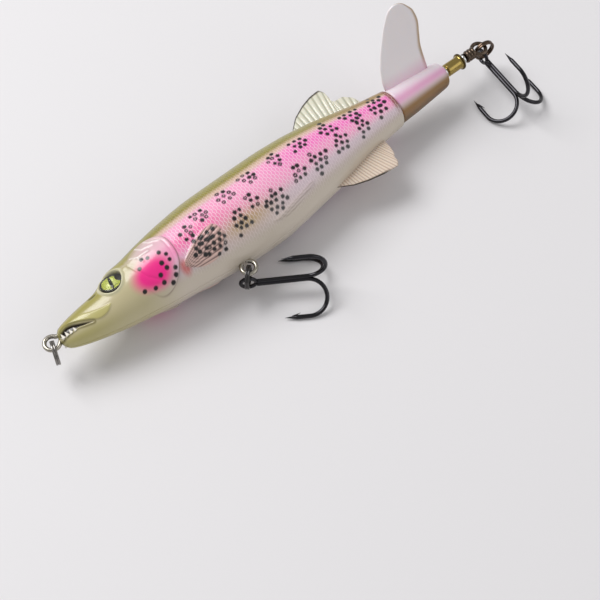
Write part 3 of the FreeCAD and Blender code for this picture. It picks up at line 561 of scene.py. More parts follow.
def moulded_places(points, side):
    """Where the moulded details lie: the distance in from each outline's edge, the paired fins'
    rays, the share of nostril and the distance from the eye's axis."""
    x, y = points[..., 0], points[..., 1]
    places = {name: depth_inside(x, y, rounded_loop(corners)) for name, corners in OUTLINES.items()}
    places["pectoral_rays"] = ray_wave(x, y, *PECTORAL_RAYS)
    places["pelvic_rays"] = ray_wave(x, y, *PELVIC_RAYS)
    places["nostril"] = np.exp(-np.hypot((x - 11.0) / 1.1, (y - 1.4) / 0.35) ** 4)
    places["eye"] = eye_distance(points, side)
    return places


def body_relief(points, places):
    """How far the moulded details stand off the plain skin, in millimetres: a smooth step in from
    an outline's edge, and a bell curve across a line or a rim."""
    x, y, z = points[..., 0], points[..., 1], points[..., 2]
    gill = places["gill"]
    relief = GILL_RISE * step_up(-0.12, 0.3, gill) * step_up(21.0, 27.5, x)
    relief -= GILL_GROOVE[0] * bell(gill - 1.0, GILL_GROOVE[1]) * step_up(24.0, 27.0, x)
    for height, width, line in LINE_RISES:
        relief += height * bell(near_line(x, y, line), width)
    for fin, (base, ray) in (("pectoral", PECTORAL_RISE), ("pelvic", PELVIC_RISE)):
        relief += step_up(-0.12, 0.25, places[fin]) * (base + ray * places[fin + "_rays"])
    relief += JAW_PLATE_RISE * step_up(-0.1, 0.35, places["jaw_plate"])
    relief -= MOUTH_DEPTH * step_up(-0.05, 0.45, places["mouth"])
    relief -= NOSTRIL_DEPTH * places["nostril"]
    relief *= step_up(0.3, 1.5, np.abs(z))
    relief += SOCKET_RISE[0] * bell(places["eye"] - SOCKET_RIM, SOCKET_RISE[1])
    relief -= SOCKET_DEPTH * step_up(2.85, 2.55, places["eye"])
    return relief - SEAM_GROOVE * bell(z, SEAM_GROOVE)


# Loose clusters of spots: place along the body, angle from the back, number of spots, and the
# share of them with a pale middle.
CLUSTERS = [
    (35.4, 90, 5, 0.3), (40.6, 84, 8, 0.8), (47.4, 79, 8, 0.7), (55.0, 77, 8, 0.5),
    (62.4, 76, 8, 0.3), (70.0, 79, 9, 0.0), (77.6, 81, 9, 0.0), (85.0, 80, 11, 0.0),
    (92.2, 80, 11, 0.0), (36.0, 117, 12, 0.0), (38.8, 125, 17, 0.1), (46.6, 121, 11, 0.0),
    (51.4, 106, 6, 0.4), (56.6, 124, 15, 0.1), (65.0, 113, 8, 0.2), (71.2, 119, 12, 0.1),
    (78.4, 117, 10, 0.0), (85.8, 113, 9, 0.0), (92.0, 107, 6, 0.0)]
# The cheek's broken ring of spots: middle along and round the body, and its reach each way.
CHEEK = (24.4, 112.0, 4.7, 27.0)

# Paint of the skin, as the colours look. Some of them are painted shade, as noted beside them.
SKIN = {
    "pearl": (206, 184, 194), "band": (240, 158, 196), "rear band": (240, 104, 190),
    # belly: its pale pearl paint darkened with painted shade
    "front band": (238, 96, 160), "tan patch": (176, 148, 92), "belly": (206, 194, 178),
    "back's edge": (214, 178, 150), "back": (136, 126, 8), "crest": (66, 60, 14),
    # head: its cream paint darkened with painted shade
    "fleck": (66, 58, 24), "rear back": (150, 98, 46), "head": (190, 180, 138),
    "snout": (150, 142, 50), "jaw": (176, 168, 98), "jaw plate": (184, 176, 104),
    "brow": (66, 58, 28), "gill cover": (214, 186, 188), "crease": (250, 244, 240),
    "cheek": (240, 30, 136), "gill edge": (120, 96, 78), "fin root": (196, 84, 76),
    # fin valley, low fin valley: painted shade between the paired fins' rays
    "fin": (214, 178, 166), "fin valley": (92, 64, 62), "low fin valley": (150, 130, 116),
    # mouth, nostril: painted shade in the mouth slit and the nostril's pit
    "mouth": (40, 30, 24), "lips": (104, 96, 44), "nostril": (60, 54, 26),
    # socket: painted shade in the recess round the eye's foil
    "eye rim": (200, 194, 158), "socket": (30, 28, 24), "spot": (9, 6, 8),
    "rear rim": (126, 74, 50)}


def arc_length(x, turn):
    """Length along the skin from the middle of the flank to an angle from the back, in degrees: the
    oval's arc, summed in small steps."""
    back, belly, half = body_at(x)
    steps = np.linspace(0, 1, 25)
    angle = math.pi / 2 + (np.radians(turn) - math.pi / 2)[..., None] * steps
    pace = np.hypot((back + belly)[..., None] / 2 * np.sin(angle), half[..., None] * np.cos(angle))
    return pace.mean(-1) * (np.radians(turn) - math.pi / 2)


def spot_places():
    """Small dark spots on the unrolled skin. Each cluster holds some of the places of a six-sided
    lattice, shaken a little, and the cheek has a broken ring of them."""
    dice = np.random.default_rng(11)
    lattice = np.array([(a + 0.5 * (b % 2), b * 0.87) for a in range(-3, 4) for b in range(-3, 4)])
    spots, pale = [], []
    for x, turn, count, share in CLUSTERS:
        order = np.argsort(np.hypot(*lattice.T) + dice.uniform(-0.45, 0.45, len(lattice)))
        shake = dice.uniform(-SPOT_SHAKE, SPOT_SHAKE, (count, 2))
        cell = lattice[order[:count]] * SPOT_PITCH + shake
        middle = arc_length(np.array([x]), np.array([float(turn)]))
        spots.append(np.stack([x + cell[:, 0], middle + cell[:, 1]], -1))
        pale.append(dice.uniform(0, 1, count) < share)
    x, turn, wide, high = CHEEK
    ring = np.radians(np.concatenate([np.linspace(-125, 140, 12), [10, 60, -40]]))
    size = np.concatenate([np.ones(12), [0.45, 0.5, 0.55]])
    cheek_x = x + wide * size * np.cos(ring)
    cheek_turn = turn + high * size * np.sin(ring)
    spots.append(np.stack([cheek_x, arc_length(cheek_x, cheek_turn)], -1)
                 + dice.uniform(-0.75, 0.75, (15, 2)))
    pale.append(np.zeros(15, bool))
    spots = np.vstack(spots)
    return spots, dice.uniform(0.46, 0.57, len(spots)), np.concatenate(pale)


def layered(points, base, layers):
    """Colours of a grid's corners: a base, and layers of (colour, share) laid over it in turn. The
    colours are written as they look."""
    paint = np.broadcast_to(np.array(srgb(*base)), points.shape)
    for colour, share in layers:
        paint = paint + (np.array(srgb(*colour)) - paint) * share[..., None]
    return paint


def body_paint(points, angle, unrolled, places):
    """The fish's colours: olive back, pink band, pearl flank, pale belly, a yellowish snout, a
    magenta cheek, dark mouth and scattered spots. Each layer is a colour and its share, laid over
    the ones before it. The share of scales is the last result."""
    x, y = points[..., 0], points[..., 1]
    turn = np.degrees(angle)
    fleck = np.sin(x * 5.3 + 2 * np.sin(y * 3.1)) * np.sin(y * 6.1 + 2 * np.sin(x * 2.3))
    fade = smooth_through(x, [0, 20, 45, 70, 97], [58, 60, 62, 63, 66])
    back = step_up(fade + 5, fade - 7, turn)
    gill, mouth, eye = places["gill"], places["mouth"], places["eye"]
    cheek = np.hypot((x - 23.8) / 5.6, (turn - 112) / 33.0)
    root = np.hypot((x - 30.6) / 1.6, (y + 6.9) / 1.9)
    fin = step_up(0.0, 0.2, places["pectoral"])
    low_fin = step_up(0.0, 0.2, places["pelvic"])
    spots, radii, open_middle = spot_places()
    away = np.hypot(x[..., None] - spots[:, 0], unrolled[..., None] - spots[:, 1])
    hollow = step_up(0.08, -0.06, away - 0.17) * open_middle
    dark = (step_up(0.1, -0.1, away - radii) - hollow * 0.75).max(-1)
    layers = (
        ("band", step_up(fade + 2, fade + 14, turn) * step_up(128, 106, turn)
         * step_up(19, 30, x)),
        ("rear band", bell(turn - 86, 14.0) * step_up(52, 72, x) * 0.8),
        ("front band", bell(turn - 98, 13.0) * step_up(54, 36, x) * step_up(28, 33, x) * 0.8),
        ("tan patch", bell(x - 48, 8.0) * bell(turn - 124, 17.0) * 0.85),
        # Belly: pale pearl paint, darkened with painted shade, as this side lies away from the
        # lamps.
        ("belly", step_up(126, 156, turn)),
        ("back's edge", step_up(fade + 13, fade + 3, turn) * step_up(24, 32, x) * 0.8),
        ("back", back * step_up(3, 13, x)),
        ("crest", step_up(40, 10, turn) * step_up(3, 13, x)),
        ("fleck", back * step_up(0.5, 0.8, fleck) * 0.55 * step_up(24, 30, x)),
        ("rear back", back * step_up(70, 92, x) * 0.55),
        # Head: cream paint, darkened with painted shade.
        ("head", step_up(30, 18, x) * step_up(44, 72, turn) * 0.95),
        ("snout", step_up(100, 58, turn) * step_up(25, 13, x) * 0.9),
        ("jaw", step_up(112, 140, turn) * step_up(17, 4, x) * 0.7),
        ("jaw plate", step_up(-0.1, 0.3, places["jaw_plate"]) * 0.8),
        ("brow", step_up(46, 22, turn) * step_up(34, 20, x) * 0.92),
        ("gill cover", step_up(-0.1, 0.3, gill) * step_up(-3.5, 1.5, y)
         * step_up(20.0, 28.0, x) * 0.75),
        *(("crease", bell(near_line(x, y, line), 0.16) * 0.7) for line in CREASES),
        ("cheek", step_up(1.12, 0.45, cheek)),
        ("gill edge", bell(gill, 0.14) * step_up(20, 26, x) * 0.7),
        ("fin root", step_up(1.1, 0.3, root) * 0.8),
        ("fin", fin * 0.85),
        # Darker colour between the paired fins' moulded rays is painted shade.
        ("fin valley", fin * step_up(-0.1, -0.9, places["pectoral_rays"]) * 0.8),
        ("low fin valley", low_fin * 0.5 * step_up(-0.1, -0.9, places["pelvic_rays"])),
        # The mouth slit and the nostril's pit are recesses, painted dark as painted shade.
        ("mouth", step_up(-0.02, 0.3, mouth)),
        ("lips", bell(mouth + 0.25, 0.22) * 0.75),
        ("nostril", places["nostril"] * 0.9),
        ("eye rim", step_up(3.7, 3.3, eye)),
        # The socket's recess round the foil is painted nearly black: painted shade.
        ("socket", step_up(2.85, 2.6, eye)),
        ("spot", dark),
        ("rear rim", step_up(95.4, 96.4, x) * step_up(150, 110, turn) * 0.9))
    paint = layered(points, SKIN["pearl"], ((SKIN[name], share) for name, share in layers))
    scaly = (step_up(60, 76, turn) * step_up(140, 116, turn) * step_up(30.5, 32.5, x)
             * step_up(98, 92, x) * 0.9)
    flank = 0.5 * step_up(28, 34, x) * step_up(164, 140, turn)
    scaly = np.maximum(scaly, flank * (1 - 0.75 * back)) * (1 - dark)
    scaly *= 1 - step_up(-0.1, 0.2, places["pectoral"])
    scaly *= 1 - 0.8 * step_up(-0.1, 0.2, places["pelvic"])
    return paint, scaly


def build_half(side):
    """One painted half: the body's form moved along its normals by the moulded relief, closed at
    the rear by a stepped recess and along the seam plane by a flat wall."""
    along = np.concatenate([BLUNT * (1 - np.cos(np.linspace(0, math.pi / 2, 10)))[:-1],
                            np.linspace(BLUNT, 34.0, 190)[:-1], np.linspace(34.0, LENGTH, 270)])
    angle = np.linspace(0, math.pi, 140)
    grid_x, grid_a = np.meshgrid(along, angle, indexing="ij")
    plain = body_form(grid_x, grid_a, side)
    places = moulded_places(plain, side)
    points = plain + outward(plain, side) * body_relief(plain, places)[..., None]
    points[..., 2][:, [0, -1]] = 0
    unrolled = arc_length(grid_x, np.degrees(grid_a))
    paint, scaly = body_paint(plain, grid_a, unrolled, places)
    flow = np.stack([grid_x, unrolled, scaly], -1)
    rear = [np.stack([np.full_like(angle, place), radius * np.cos(angle),
                      side * radius * np.sin(angle)], -1)
            for place, radius in ((LENGTH, RECESS_RADIUS), (LENGTH - RECESS, RECESS_RADIUS),
                                  (LENGTH - RECESS, SHAFT_HOLE))]
    rim = np.broadcast_to(np.array(srgb(200, 178, 160)), (3, len(angle), 3))
    return (np.concatenate([points, np.array(rear)]), np.concatenate([paint, rim]),
            np.concatenate([flow, np.zeros((3, len(angle), 3))]))


def build_body():
    """Both painted halves, each closed at its two ends."""
    for side, word in SIDES:
        points, paint, flow = build_half(side)
        points = capped(points, points[0].mean(0), (LENGTH - RECESS, 0, 0))
        paint, flow = (np.concatenate([rows[:1], rows, rows[-1:]]) for rows in (paint, flow))
        surface(word + "_painted_half", [points], "body", "skin",
                [word + "_shell"], paint, flow)


def build_fin(name, outline, inner, rays, cream, groove_shade):
    """A thin fin on the seam plane. Rows run from its root inside the body to its rim, which is a
    line through the outline, and the thickness swells from the rim with fine ridges."""
    outline = np.asarray(outline, float)
    reach = np.concatenate([[0], np.cumsum(np.linalg.norm(np.diff(outline, axis=0), axis=1))])
    u = np.linspace(0, reach[-1], 150)
    rim = np.stack([np.interp(u, reach, outline[:, i]) for i in (0, 1)], -1)
    soft = np.ones(5) / 5
    rim[2:-2] = np.stack([np.convolve(rim[:, i], soft, "valid") for i in (0, 1)], -1)
    share = u / reach[-1]
    root = np.stack([outline[0, 0] + (outline[-1, 0] - outline[0, 0]) * share,
                     inner[0] + (inner[1] - inner[0]) * share], -1)
    loop = np.linspace(0, 2, 60, endpoint=False)
    height = 1 - np.abs(1 - loop)
    sign = np.where(loop < 1, 1.0, -1.0)
    flat = root[:, None] + (rim - root)[:, None] * height[None, :, None]
    ends = np.minimum(1, np.minimum(share, 1 - share) * 14)[:, None]
    thick = 0.5 * (1 - 0.45 * height) * np.sqrt(np.clip(1 - height ** 6, 0, 1)) * np.sqrt(ends)
    wave = np.cos(2 * math.pi * rays * share)[:, None]
    thick = thick + 0.10 * wave * np.sin(math.pi * height) * ends
    points = np.concatenate([flat, (sign * thick)[..., None]], -1)
    # Between the rays the fin is painted darker: painted shade.
    valley = np.broadcast_to(step_up(-0.1, -0.9, wave), flat.shape[:2])
    edge = step_up(0.93, 0.965, height)[None] * step_up(0.62, 0.5, share)[:, None]
    paint = layered(points, cream, ((groove_shade, valley * 0.6), ((36, 32, 24), edge)))
    points = capped(points, points[0].mean(0), points[-1].mean(0))
    paint = np.concatenate([paint[:1], paint, paint[-1:]])
    surface(name, [points], "body", "fin", (), paint)


def build_fins():
    """Both upright fins, each with the heights of its root's ends and its number of rays."""
    # Each fin's last colour is painted shade between its rays.
    build_fin("dorsal_fin", DORSAL, (5.4, 3.0), 17, (224, 220, 200), (138, 140, 112))
    build_fin("anal_fin", ANAL, (-6.0, -3.4), 27, (230, 210, 190), (160, 122, 106))


def iris_paint(points, dx, dy, side):
    """Yellow-green foil with fine streaks from the middle, a slit pupil and a dark rim."""
    streak = np.sin(np.arctan2(dy, dx) * 23 + 3 * np.sin(dx * 4))
    slant = dx * 0.97 - side * dy * 0.24
    slit = np.abs(slant) - 0.36 * np.sqrt(np.clip(1 - (dy / 2.15) ** 2, 0, 1))
    return layered(points, (206, 212, 84), (
        ((112, 136, 44), step_up(-0.1, 0.9, streak) * 0.75),
        ((226, 232, 150), step_up(1.6, 0.7, np.hypot(dx, dy)) * 0.5),
        ((8, 8, 8), step_up(0.08, -0.04, slit)),
        ((12, 12, 12), step_up(2.12, 2.26, np.hypot(dx, dy * 1.06)))))


def eye_disc(side, reach, level):
    """Rings of points about the eye's axis, at distances from it and levels along it, and their
    places along the body and across it."""
    centre, facing = eye_place(side)
    angle = np.linspace(0, 2 * math.pi, 64, endpoint=False)
    dx, dy = reach[:, None] * np.cos(angle), reach[:, None] * np.sin(angle)
    points = (centre + dx[..., None] * np.array([1.0, 0, 0])
              + dy[..., None] * np.cross(facing, (1.0, 0, 0)) + level[:, None, None] * facing)
    return points, dx, dy


def build_eyes():
    """Foil: a flat disc with a slit pupil. Lens: the cap of a ball over it, whose height falls with
    the square of the distance from the middle."""
    for side, word in SIDES:
        points, dx, dy = eye_disc(side, np.append(np.linspace(0, FOIL, 40), [FOIL, 0]),
                                  np.append(np.full(40, 0.15), [-0.15, -0.15]))
        surface(word + "_iris", [points], "body", "iris",
                [word + "_eye_foil"], iris_paint(points, dx, dy, side))
        reach = np.linspace(0, LENS, 24)
        level = np.append(0.2 + 0.75 * (1 - (reach / LENS) ** 2), [0.16, 0.16])
        points = eye_disc(side, np.append(reach, [LENS, 0]), level)[0]
        surface(word + "_lens", [points], "body", "lens", [word + "_eye_dome"])


def build_teeth():
    """Small pointed teeth on the lower jaw, each a cone whose radius falls to its tip."""
    for side, word in SIDES:
        grids = []
        for x in (0.9, 1.85, 2.8, 3.75):
            half = body_at(x)[2]
            foot = np.array([x, -2.2 - 0.17 * x, side * half * 0.82])
            tip = foot + np.array([-0.1, 1.5 - 0.1 * x, side * 0.14])
            t = np.linspace(0, 1, 12)[:, None]
            grids.append(tube(foot + (tip - foot) * t, 0.5 * (1 - t[:, 0]) ** 0.9 + 0.015, 12))
        surface(word + "_teeth", grids, "body", "tooth")


# ---- wires on the body

def wire_eye(centre, away, anchor):
    """One wire that comes out of the body, bends round its eye and goes back beside itself. away is
    the direction from the body to the eye."""
    away = np.asarray(away, float)
    beside = np.array([-away[1], away[0], 0])
    loop = circle_path(centre, WIRE_EYE, 152, -152, 60, away, beside)
    into = np.asarray(anchor, float)
    start, stop = into + beside * NECK, into - beside * NECK
    neck = np.linspace(0, 1, 10)[:, None]
    return np.concatenate([start + (loop[0] - start) * neck, loop[1:-1],
                           loop[-1] + (stop - loop[-1]) * neck])


def hanger_place():
    """Centre of the belly hanger's outer eye."""
    low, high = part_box("belly_hanger")
    return np.array([(low.x + high.x) / 2 / MM - NOSE, low.y / MM - AXIS[0] + WIRE + WIRE_EYE, 0])


def build_body_wires():
    """Line tie and belly hanger, each a bent wire."""
    hang = hanger_place()
    for name, node, path in (
            ("nose_eye_wire", "line_tie", wire_eye(TIE, (-1, 0, 0), (6.0, TIE[1], 0))),
            ("belly_eye_wire", "belly_hanger", wire_eye(hang, (0, -1, 0), hang + (0, 5.0, 0)))):
        surface(name, [tube(path, WIRE)], "body", "wire", [node])


def build_shaft():
    """The shaft's wire: straight through the tail, round its end loop, and back in three close
    turns, a helix of twice the wire's radius about the shaft."""
    straight = np.stack([np.linspace(SHAFT_START, LOOP - WIRE_EYE * 0.96, 60), np.zeros(60),
                         np.zeros(60)], -1)
    loop = circle_path((LOOP, 0, 0), WIRE_EYE, -166, 150, 70)
    turns = np.linspace(0, WRAP_TURNS * 2 * math.pi, 110)
    helix = np.stack([WRAP + WIRE + 2 * WRAP_PITCH - turns / (2 * math.pi) * 0.84 + 0.25,
                      2 * WIRE * np.cos(turns), 2 * WIRE * np.sin(turns)], -1)
    path = np.concatenate([straight, loop, helix[4:]])
    surface("shaft_wire", [tube(path, WIRE * 0.97)], "body", "dark_wire",
            ["tail_shaft"])


def build_split_rings():
    """Split rings: a flat wire wound twice round, one coil beside the other, with a short step from
    one to the other. The section is a small rounded oblong."""
    for node, body, finish in (("nose_split_ring", "nose_ring", "nickel"),
                               ("belly_split_ring", "belly_ring", "dark_nickel"),
                               ("rear_split_ring", "rear_ring", "bronze_nickel")):
        centre = node_middle(node) - ORIGIN
        axis = np.array(joint_of(body)["axis"], float)
        along = np.cross(axis, (0, 0, 1.0))
        turn = np.linspace(math.radians(RING_START), math.radians(RING_START + RING_WOUND), 240)
        shift = COIL_SHIFT * (2 * step_up(-30, 30, np.degrees(turn) - RING_START - RING_STEP) - 1)
        radial = (np.cos(turn)[:, None] * along + np.sin(turn)[:, None] * np.array([0, 0, 1.0]))
        path = centre + radial * RING_RADIUS + shift[:, None] * axis
        profile = softened([(-0.28, -0.26), (0.28, -0.26), (0.28, 0.26), (-0.28, 0.26)], 0.16, 4)
        points = (path[:, None] + radial[:, None] * profile[None, :, :1]
                  + axis * profile[None, :, 1:])
        surface(node + "_coils", [capped(points, path[0], path[-1])], body, finish, [node])


def joint_of(body):
    """The joint that moves a body."""
    return next(joint for joint in frame["joints"] if joint["child"] == body)


def hook_wires():
    """A treble hook about its own eye, shank along x: for each of three hooks the wire runs along
    the shank, round a half circle and back to a tapered point with a barb."""
    bend, low, radius, leg, point = 13.2, 0.42, 4.2, 3.2, 2.6
    high = low + 2 * radius
    shank = np.stack([np.linspace(1.9, bend, 30), np.full(30, low)], -1)
    angle = np.radians(np.linspace(-90, 90, 46)[1:])
    arc = np.stack([bend + radius * np.cos(angle), low + radius + radius * np.sin(angle)], -1)
    back = np.stack([np.linspace(bend, bend - leg - point, 34)[1:],
                     high - 0.10 * np.linspace(0, 1, 33) ** 2], -1)
    flat = np.concatenate([shank, arc, back])
    run = bend - leg - flat[:, 0]
    tip = np.where((np.arange(len(flat)) > 75), np.clip(run / point, 0, 1), 0)
    thick = WIRE * (1 - 0.94 * tip ** 0.85)
    barb = np.stack([np.linspace(bend - leg - 0.9, bend - leg + 1.0, 8),
                     np.linspace(high - 0.22, high - 0.92, 8)], -1)
    grids = []
    for turn in (0, 120, 240):
        c, s = cos_sin(turn)
        for line, wire in ((flat, thick), (barb, np.linspace(0.26, 0.03, 8))):
            path = np.stack([line[:, 0], -s * line[:, 1], c * line[:, 1]], -1)
            grids.append(tube(path, wire, 12))
    eye = circle_path((0, 0, 0), HOOK_EYE, 8, 352, 56, (1, 0, 0), (0, 0, 1))
    return [*grids, tube(eye, HOOK_EYE_WIRE, 12)]


def build_hooks():
    """Both treble hooks, each turned about the upright axis through its joint to where it lies."""
    for node, body, turn in (("belly_treble_hook", "belly_hook", -33.0),
                             ("rear_treble_hook", "rear_hook", -97.0)):
        eye = np.array(joint_of(body)["pos_m"]) / MM - ORIGIN
        c, s = cos_sin(turn)
        about = np.array([[c, s, 0], [-s, c, 0], [0, 0, 1]])
        surface(node + "_wires", [points @ about + eye for points in hook_wires()], body,
                "black_nickel", [node])


# ---- the rotating tail

BLADE_LEAD = np.array([(0.12, 0.03), (0.25, 0.02), (0.41, 0.06), (0.55, 0.15), (0.74, 0.32),
                       (0.88, 0.46), (0.97, 0.585), (1.0, 0.70)])
BLADE_TRAIL = np.array([(0.12, 0.99), (0.28, 1.0), (0.42, 1.01), (0.55, 1.05), (0.70, 1.09),
                        (0.83, 1.05), (0.92, 0.95), (0.985, 0.83), (1.0, 0.70)])
# The blade's width at its root, its reach, where it stands, and the share of it inside the hub.
BLADE_ROOT = 13.4
BLADE_REACH = 22.4
BLADE_TURN = 50.0
BLADE_FOOT = 0.13


def about_shaft(points):
    """Turns points from the blade's own plane to where the blade stands."""
    c, s = cos_sin(BLADE_TURN)
    return points @ np.array([[1, 0, 0], [0, c, s], [0, -s, c]])


def build_tail():
    """Hub: a turned form. Blade: at each distance from the shaft a slim rounded section spans from
    the leading to the trailing edge, bent out of its plane by the square of the distance and
    hollowed by the square of the place across it."""
    out = BLADE_FOOT + (1 - BLADE_FOOT) * (1 - (1 - np.linspace(0, 1, 90)) ** 1.8)
    lead = smooth_through(out, BLADE_LEAD[:, 0], BLADE_LEAD[:, 1]) * BLADE_ROOT
    trail = smooth_through(out, BLADE_TRAIL[:, 0], BLADE_TRAIL[:, 1]) * BLADE_ROOT
    theta = np.linspace(0, 2 * math.pi, 96, endpoint=False)
    across = (lead + trail)[:, None] / 2 + (trail - lead)[:, None] / 2 * np.cos(theta)
    thick = (1.5 - 0.6 * out)[:, None] / 2
    swell = np.sign(np.sin(theta)) * np.abs(np.sin(theta)) ** 0.55
    round_tip = np.sqrt(np.clip((trail - lead) / 2.2, 0, 1))[:, None]
    share = (across - BLADE_ROOT / 2) / BLADE_ROOT
    bend = 4.2 * out[:, None] ** 2 + 0.9 * out[:, None] * (4 * share ** 2 - 1)
    points = np.stack([HUB + across, np.broadcast_to(out[:, None] * BLADE_REACH, across.shape),
                       bend + swell * thick * round_tip], -1)
    inner = points[:1].copy()
    inner[..., 1:] *= 0.1
    points = np.concatenate([inner, points])
    edge = np.concatenate([np.zeros((1, 96)), step_up(0.80, 0.93, np.broadcast_to(
        np.cos(theta), across.shape))])
    low = np.concatenate([[BLADE_FOOT], out])[:, None]
    paint = layered(points, (236, 230, 232), (
        ((158, 122, 74), edge * 0.8),
        ((226, 176, 204), np.broadcast_to(step_up(0.36, 0.16, low), edge.shape) * 0.7)))
    surface("tail_blade", [about_shaft(points)], "tail", "tail", (), paint)
    hub = [(HUB_SEAT, 1.6), (HUB_SEAT, 2.6), (HUB, 2.6), (HUB, 4.25), (HUB + 0.35, 4.6),
           (HUB + 5.0, 4.35), (HUB + 11.0, 3.85), (HUB_END - 1.1, 3.45), (HUB_END - 0.33, 3.15),
           (HUB_END, 2.4), (HUB_END, 1.6)]
    points = turned(softened(hub, 0.3, 4), 96)
    turn = np.degrees(np.arctan2(points[..., 2], points[..., 1])) % 360
    paint = layered(points, (234, 220, 226), (
        ((224, 150, 190), bell(turn - 110, 20.0) * 0.85),
        ((150, 112, 62), step_up(114, 150, turn) * step_up(336, 296, turn)),
        # Darker olive on the hub's underside, towards the floor, is painted shade.
        ((78, 62, 34), step_up(140, 190, turn) * step_up(315, 260, turn) * 0.75)))
    surface("tail_hub", [points], "tail", "tail", ["rotating_tail"], paint,
            ring=True)


def build_shaft_pieces():
    """Brass sleeve with its rear flange, a ball behind the hub and the last bead: rounded profiles
    turned about the shaft."""
    neck = HUB_END + 1.35
    sleeve = [(HUB_SEAT, 0.6), (HUB_SEAT, 1.6), (HUB_END - 0.4, 1.6), (HUB_END - 0.3, 1.0),
              (neck, 1.0), (neck + 0.05, 1.6), (SLEEVE_END - 0.9, 1.6), (SLEEVE_END - 0.5, 1.75),
              (SLEEVE_END - 0.45, 2.1), (SLEEVE_END, 2.1), (SLEEVE_END, 0.6)]
    points = turned(softened(sleeve, 0.14, 4), 64)
    flange = step_up(SLEEVE_END - 0.62, SLEEVE_END - 0.48, points[..., 0])
    paint = layered(points, (168, 146, 84), [((58, 46, 26), flange * 0.85)])
    surface("sleeve_turning", [points], "tail", "brass", ["brass_sleeve"], paint,
            ring=True)
    angle = np.linspace(0.42, math.pi - 0.42, 24)
    ball = np.stack([HUB_END + 0.55 - 0.85 * np.cos(angle), 1.58 * np.sin(angle) ** 0.8], -1)
    ball = np.vstack([ball, [(ball[-1, 0], 0.62), (ball[0, 0], 0.62)]])
    surface("hub_ball", [turned(ball, 48)], "tail", "bright", ring=True)
    bead = [(BEAD, 0.6), (BEAD, 0.88), (BEAD + 0.36, 1.25), (BEAD + 0.84, 1.25),
            (BEAD + BEAD_LENGTH, 0.88), (BEAD + BEAD_LENGTH, 0.6)]
    surface("bead_turning", [turned(softened(bead, 0.3, 6), 48)], "tail", "bright",
            ["rear_bead"], ring=True)


def dress_inner_pieces():
    """The pieces inside the body keep their CAD form."""
    for node in ("front_ballast", "rear_ballast", "rattle_ball", "front_washer"):
        mesh = frame["nodes"][node].data
        mesh.materials.clear()
        mesh.materials.append(MATERIALS["plain_steel"])


# ---- stage

# Half the floor's width and how far it lies under the lowest face, in metres.
FLOOR_REACH = 3.0
FLOOR_DROP = 0.00002
CAMERA_FROM_NOSE = (-53.5, -146.9)
CAMERA_HEIGHT = 0.2801
CAMERA_TURN = -39.8
CAMERA_RISE = 60.0


def build_stage(settings):
    """Pale floor, two soft lamps and the camera."""
    mesh = bpy.data.meshes.new("floor")
    mesh.from_pydata([(x * FLOOR_REACH, y * FLOOR_REACH, 0)
                      for x, y in ((-1, -1), (1, -1), (1, 1), (-1, 1))], [], [(0, 1, 2, 3)])
    floor = linked("floor", mesh)
    floor.location.z = CAD_BOX[0].z - FLOOR_DROP
    mesh.materials.append(material("pale floor", tuple(settings.floor_colour), 0.6))
    for name, place, size, power in (("key lamp", (-0.25, 0.55, 0.75), 0.55, settings.key_power),
                                     ("fill lamp", (0.55, -0.65, 0.55), 0.7, settings.fill_power)):
        light = bpy.data.lights.new(name, "AREA")
        light.size = size
        light.energy = power
        lamp = linked(name, light)
        lamp.location = place
        aim = Vector((0, 0, 0.01)) - lamp.location
        lamp.rotation_euler = aim.to_track_quat("-Z", "Y").to_euler()
    world = bpy.data.worlds.new("room")
    world.use_nodes = True
    sky = world.node_tree.nodes["Background"].inputs
    sky["Color"].default_value = (1, 1, 1, 1)
    sky["Strength"].default_value = settings.room_light
    bpy.context.scene.world = world
    lens = bpy.data.cameras.new("camera")
    lens.sensor_width = 36
    lens.lens = settings.lens
    lens.clip_start = 0.01
    camera = linked("camera", lens)
    camera.location = ((NOSE + CAMERA_FROM_NOSE[0]) * MM, (AXIS[0] + CAMERA_FROM_NOSE[1]) * MM,
                       CAMERA_HEIGHT)
    (across, along), (level, up) = cos_sin(CAMERA_TURN), cos_sin(CAMERA_RISE)
    back = Vector((along * level, -across * level, up))
    camera.rotation_mode = "QUATERNION"
    camera.rotation_quaternion = (-back).to_track_quat("-Z", "Y")
    bpy.context.scene.camera = camera
    bpy.context.scene.view_settings.view_transform = "Standard"


MATERIALS = {}

# Plated and bright metals: name, colour as it looks, and roughness.
METALS = {
    "wire": ("stainless wire", (176, 170, 158), 0.22),
    "dark_wire": ("dark stainless wire", (104, 90, 78), 0.25),
    "nickel": ("nickel plate", (140, 136, 132), 0.2),
    "bronze_nickel": ("bronze-dark nickel", (98, 82, 70), 0.2),
    "dark_nickel": ("dark nickel plate", (84, 82, 82), 0.2),
    "black_nickel": ("black nickel plate", (58, 57, 60), 0.18),
    "bright": ("bright bead", (226, 226, 224), 0.12),
    "plain_steel": ("plain steel", (150, 150, 148), 0.35)}


def make_materials():
    """All finishes of the lure, by plain name."""
    MATERIALS["skin"] = painted_skin()
    MATERIALS["fin"] = painted_plain("cream fin", 0.35, Subsurface_Weight=0.1)
    MATERIALS["iris"] = painted_plain("printed foil", 0.3)
    MATERIALS["lens"] = material("clear lens", (1, 1, 1), 0.02, coat=0.35,
                                 Transmission_Weight=1.0, IOR=1.04)
    MATERIALS["tooth"] = material("white tooth", srgb(232, 226, 214), 0.3, coat=0.3)
    MATERIALS["brass"] = painted_plain("turned brass", 0.24, 0.0, Metallic=1.0)
    MATERIALS["tail"] = painted_plain("soft tail", 0.38, 0.25, Subsurface_Weight=0.08)
    for key, (name, colour, rough) in METALS.items():
        MATERIALS[key] = drawn_metal(name, srgb(*colour), rough)


# ---- add-on

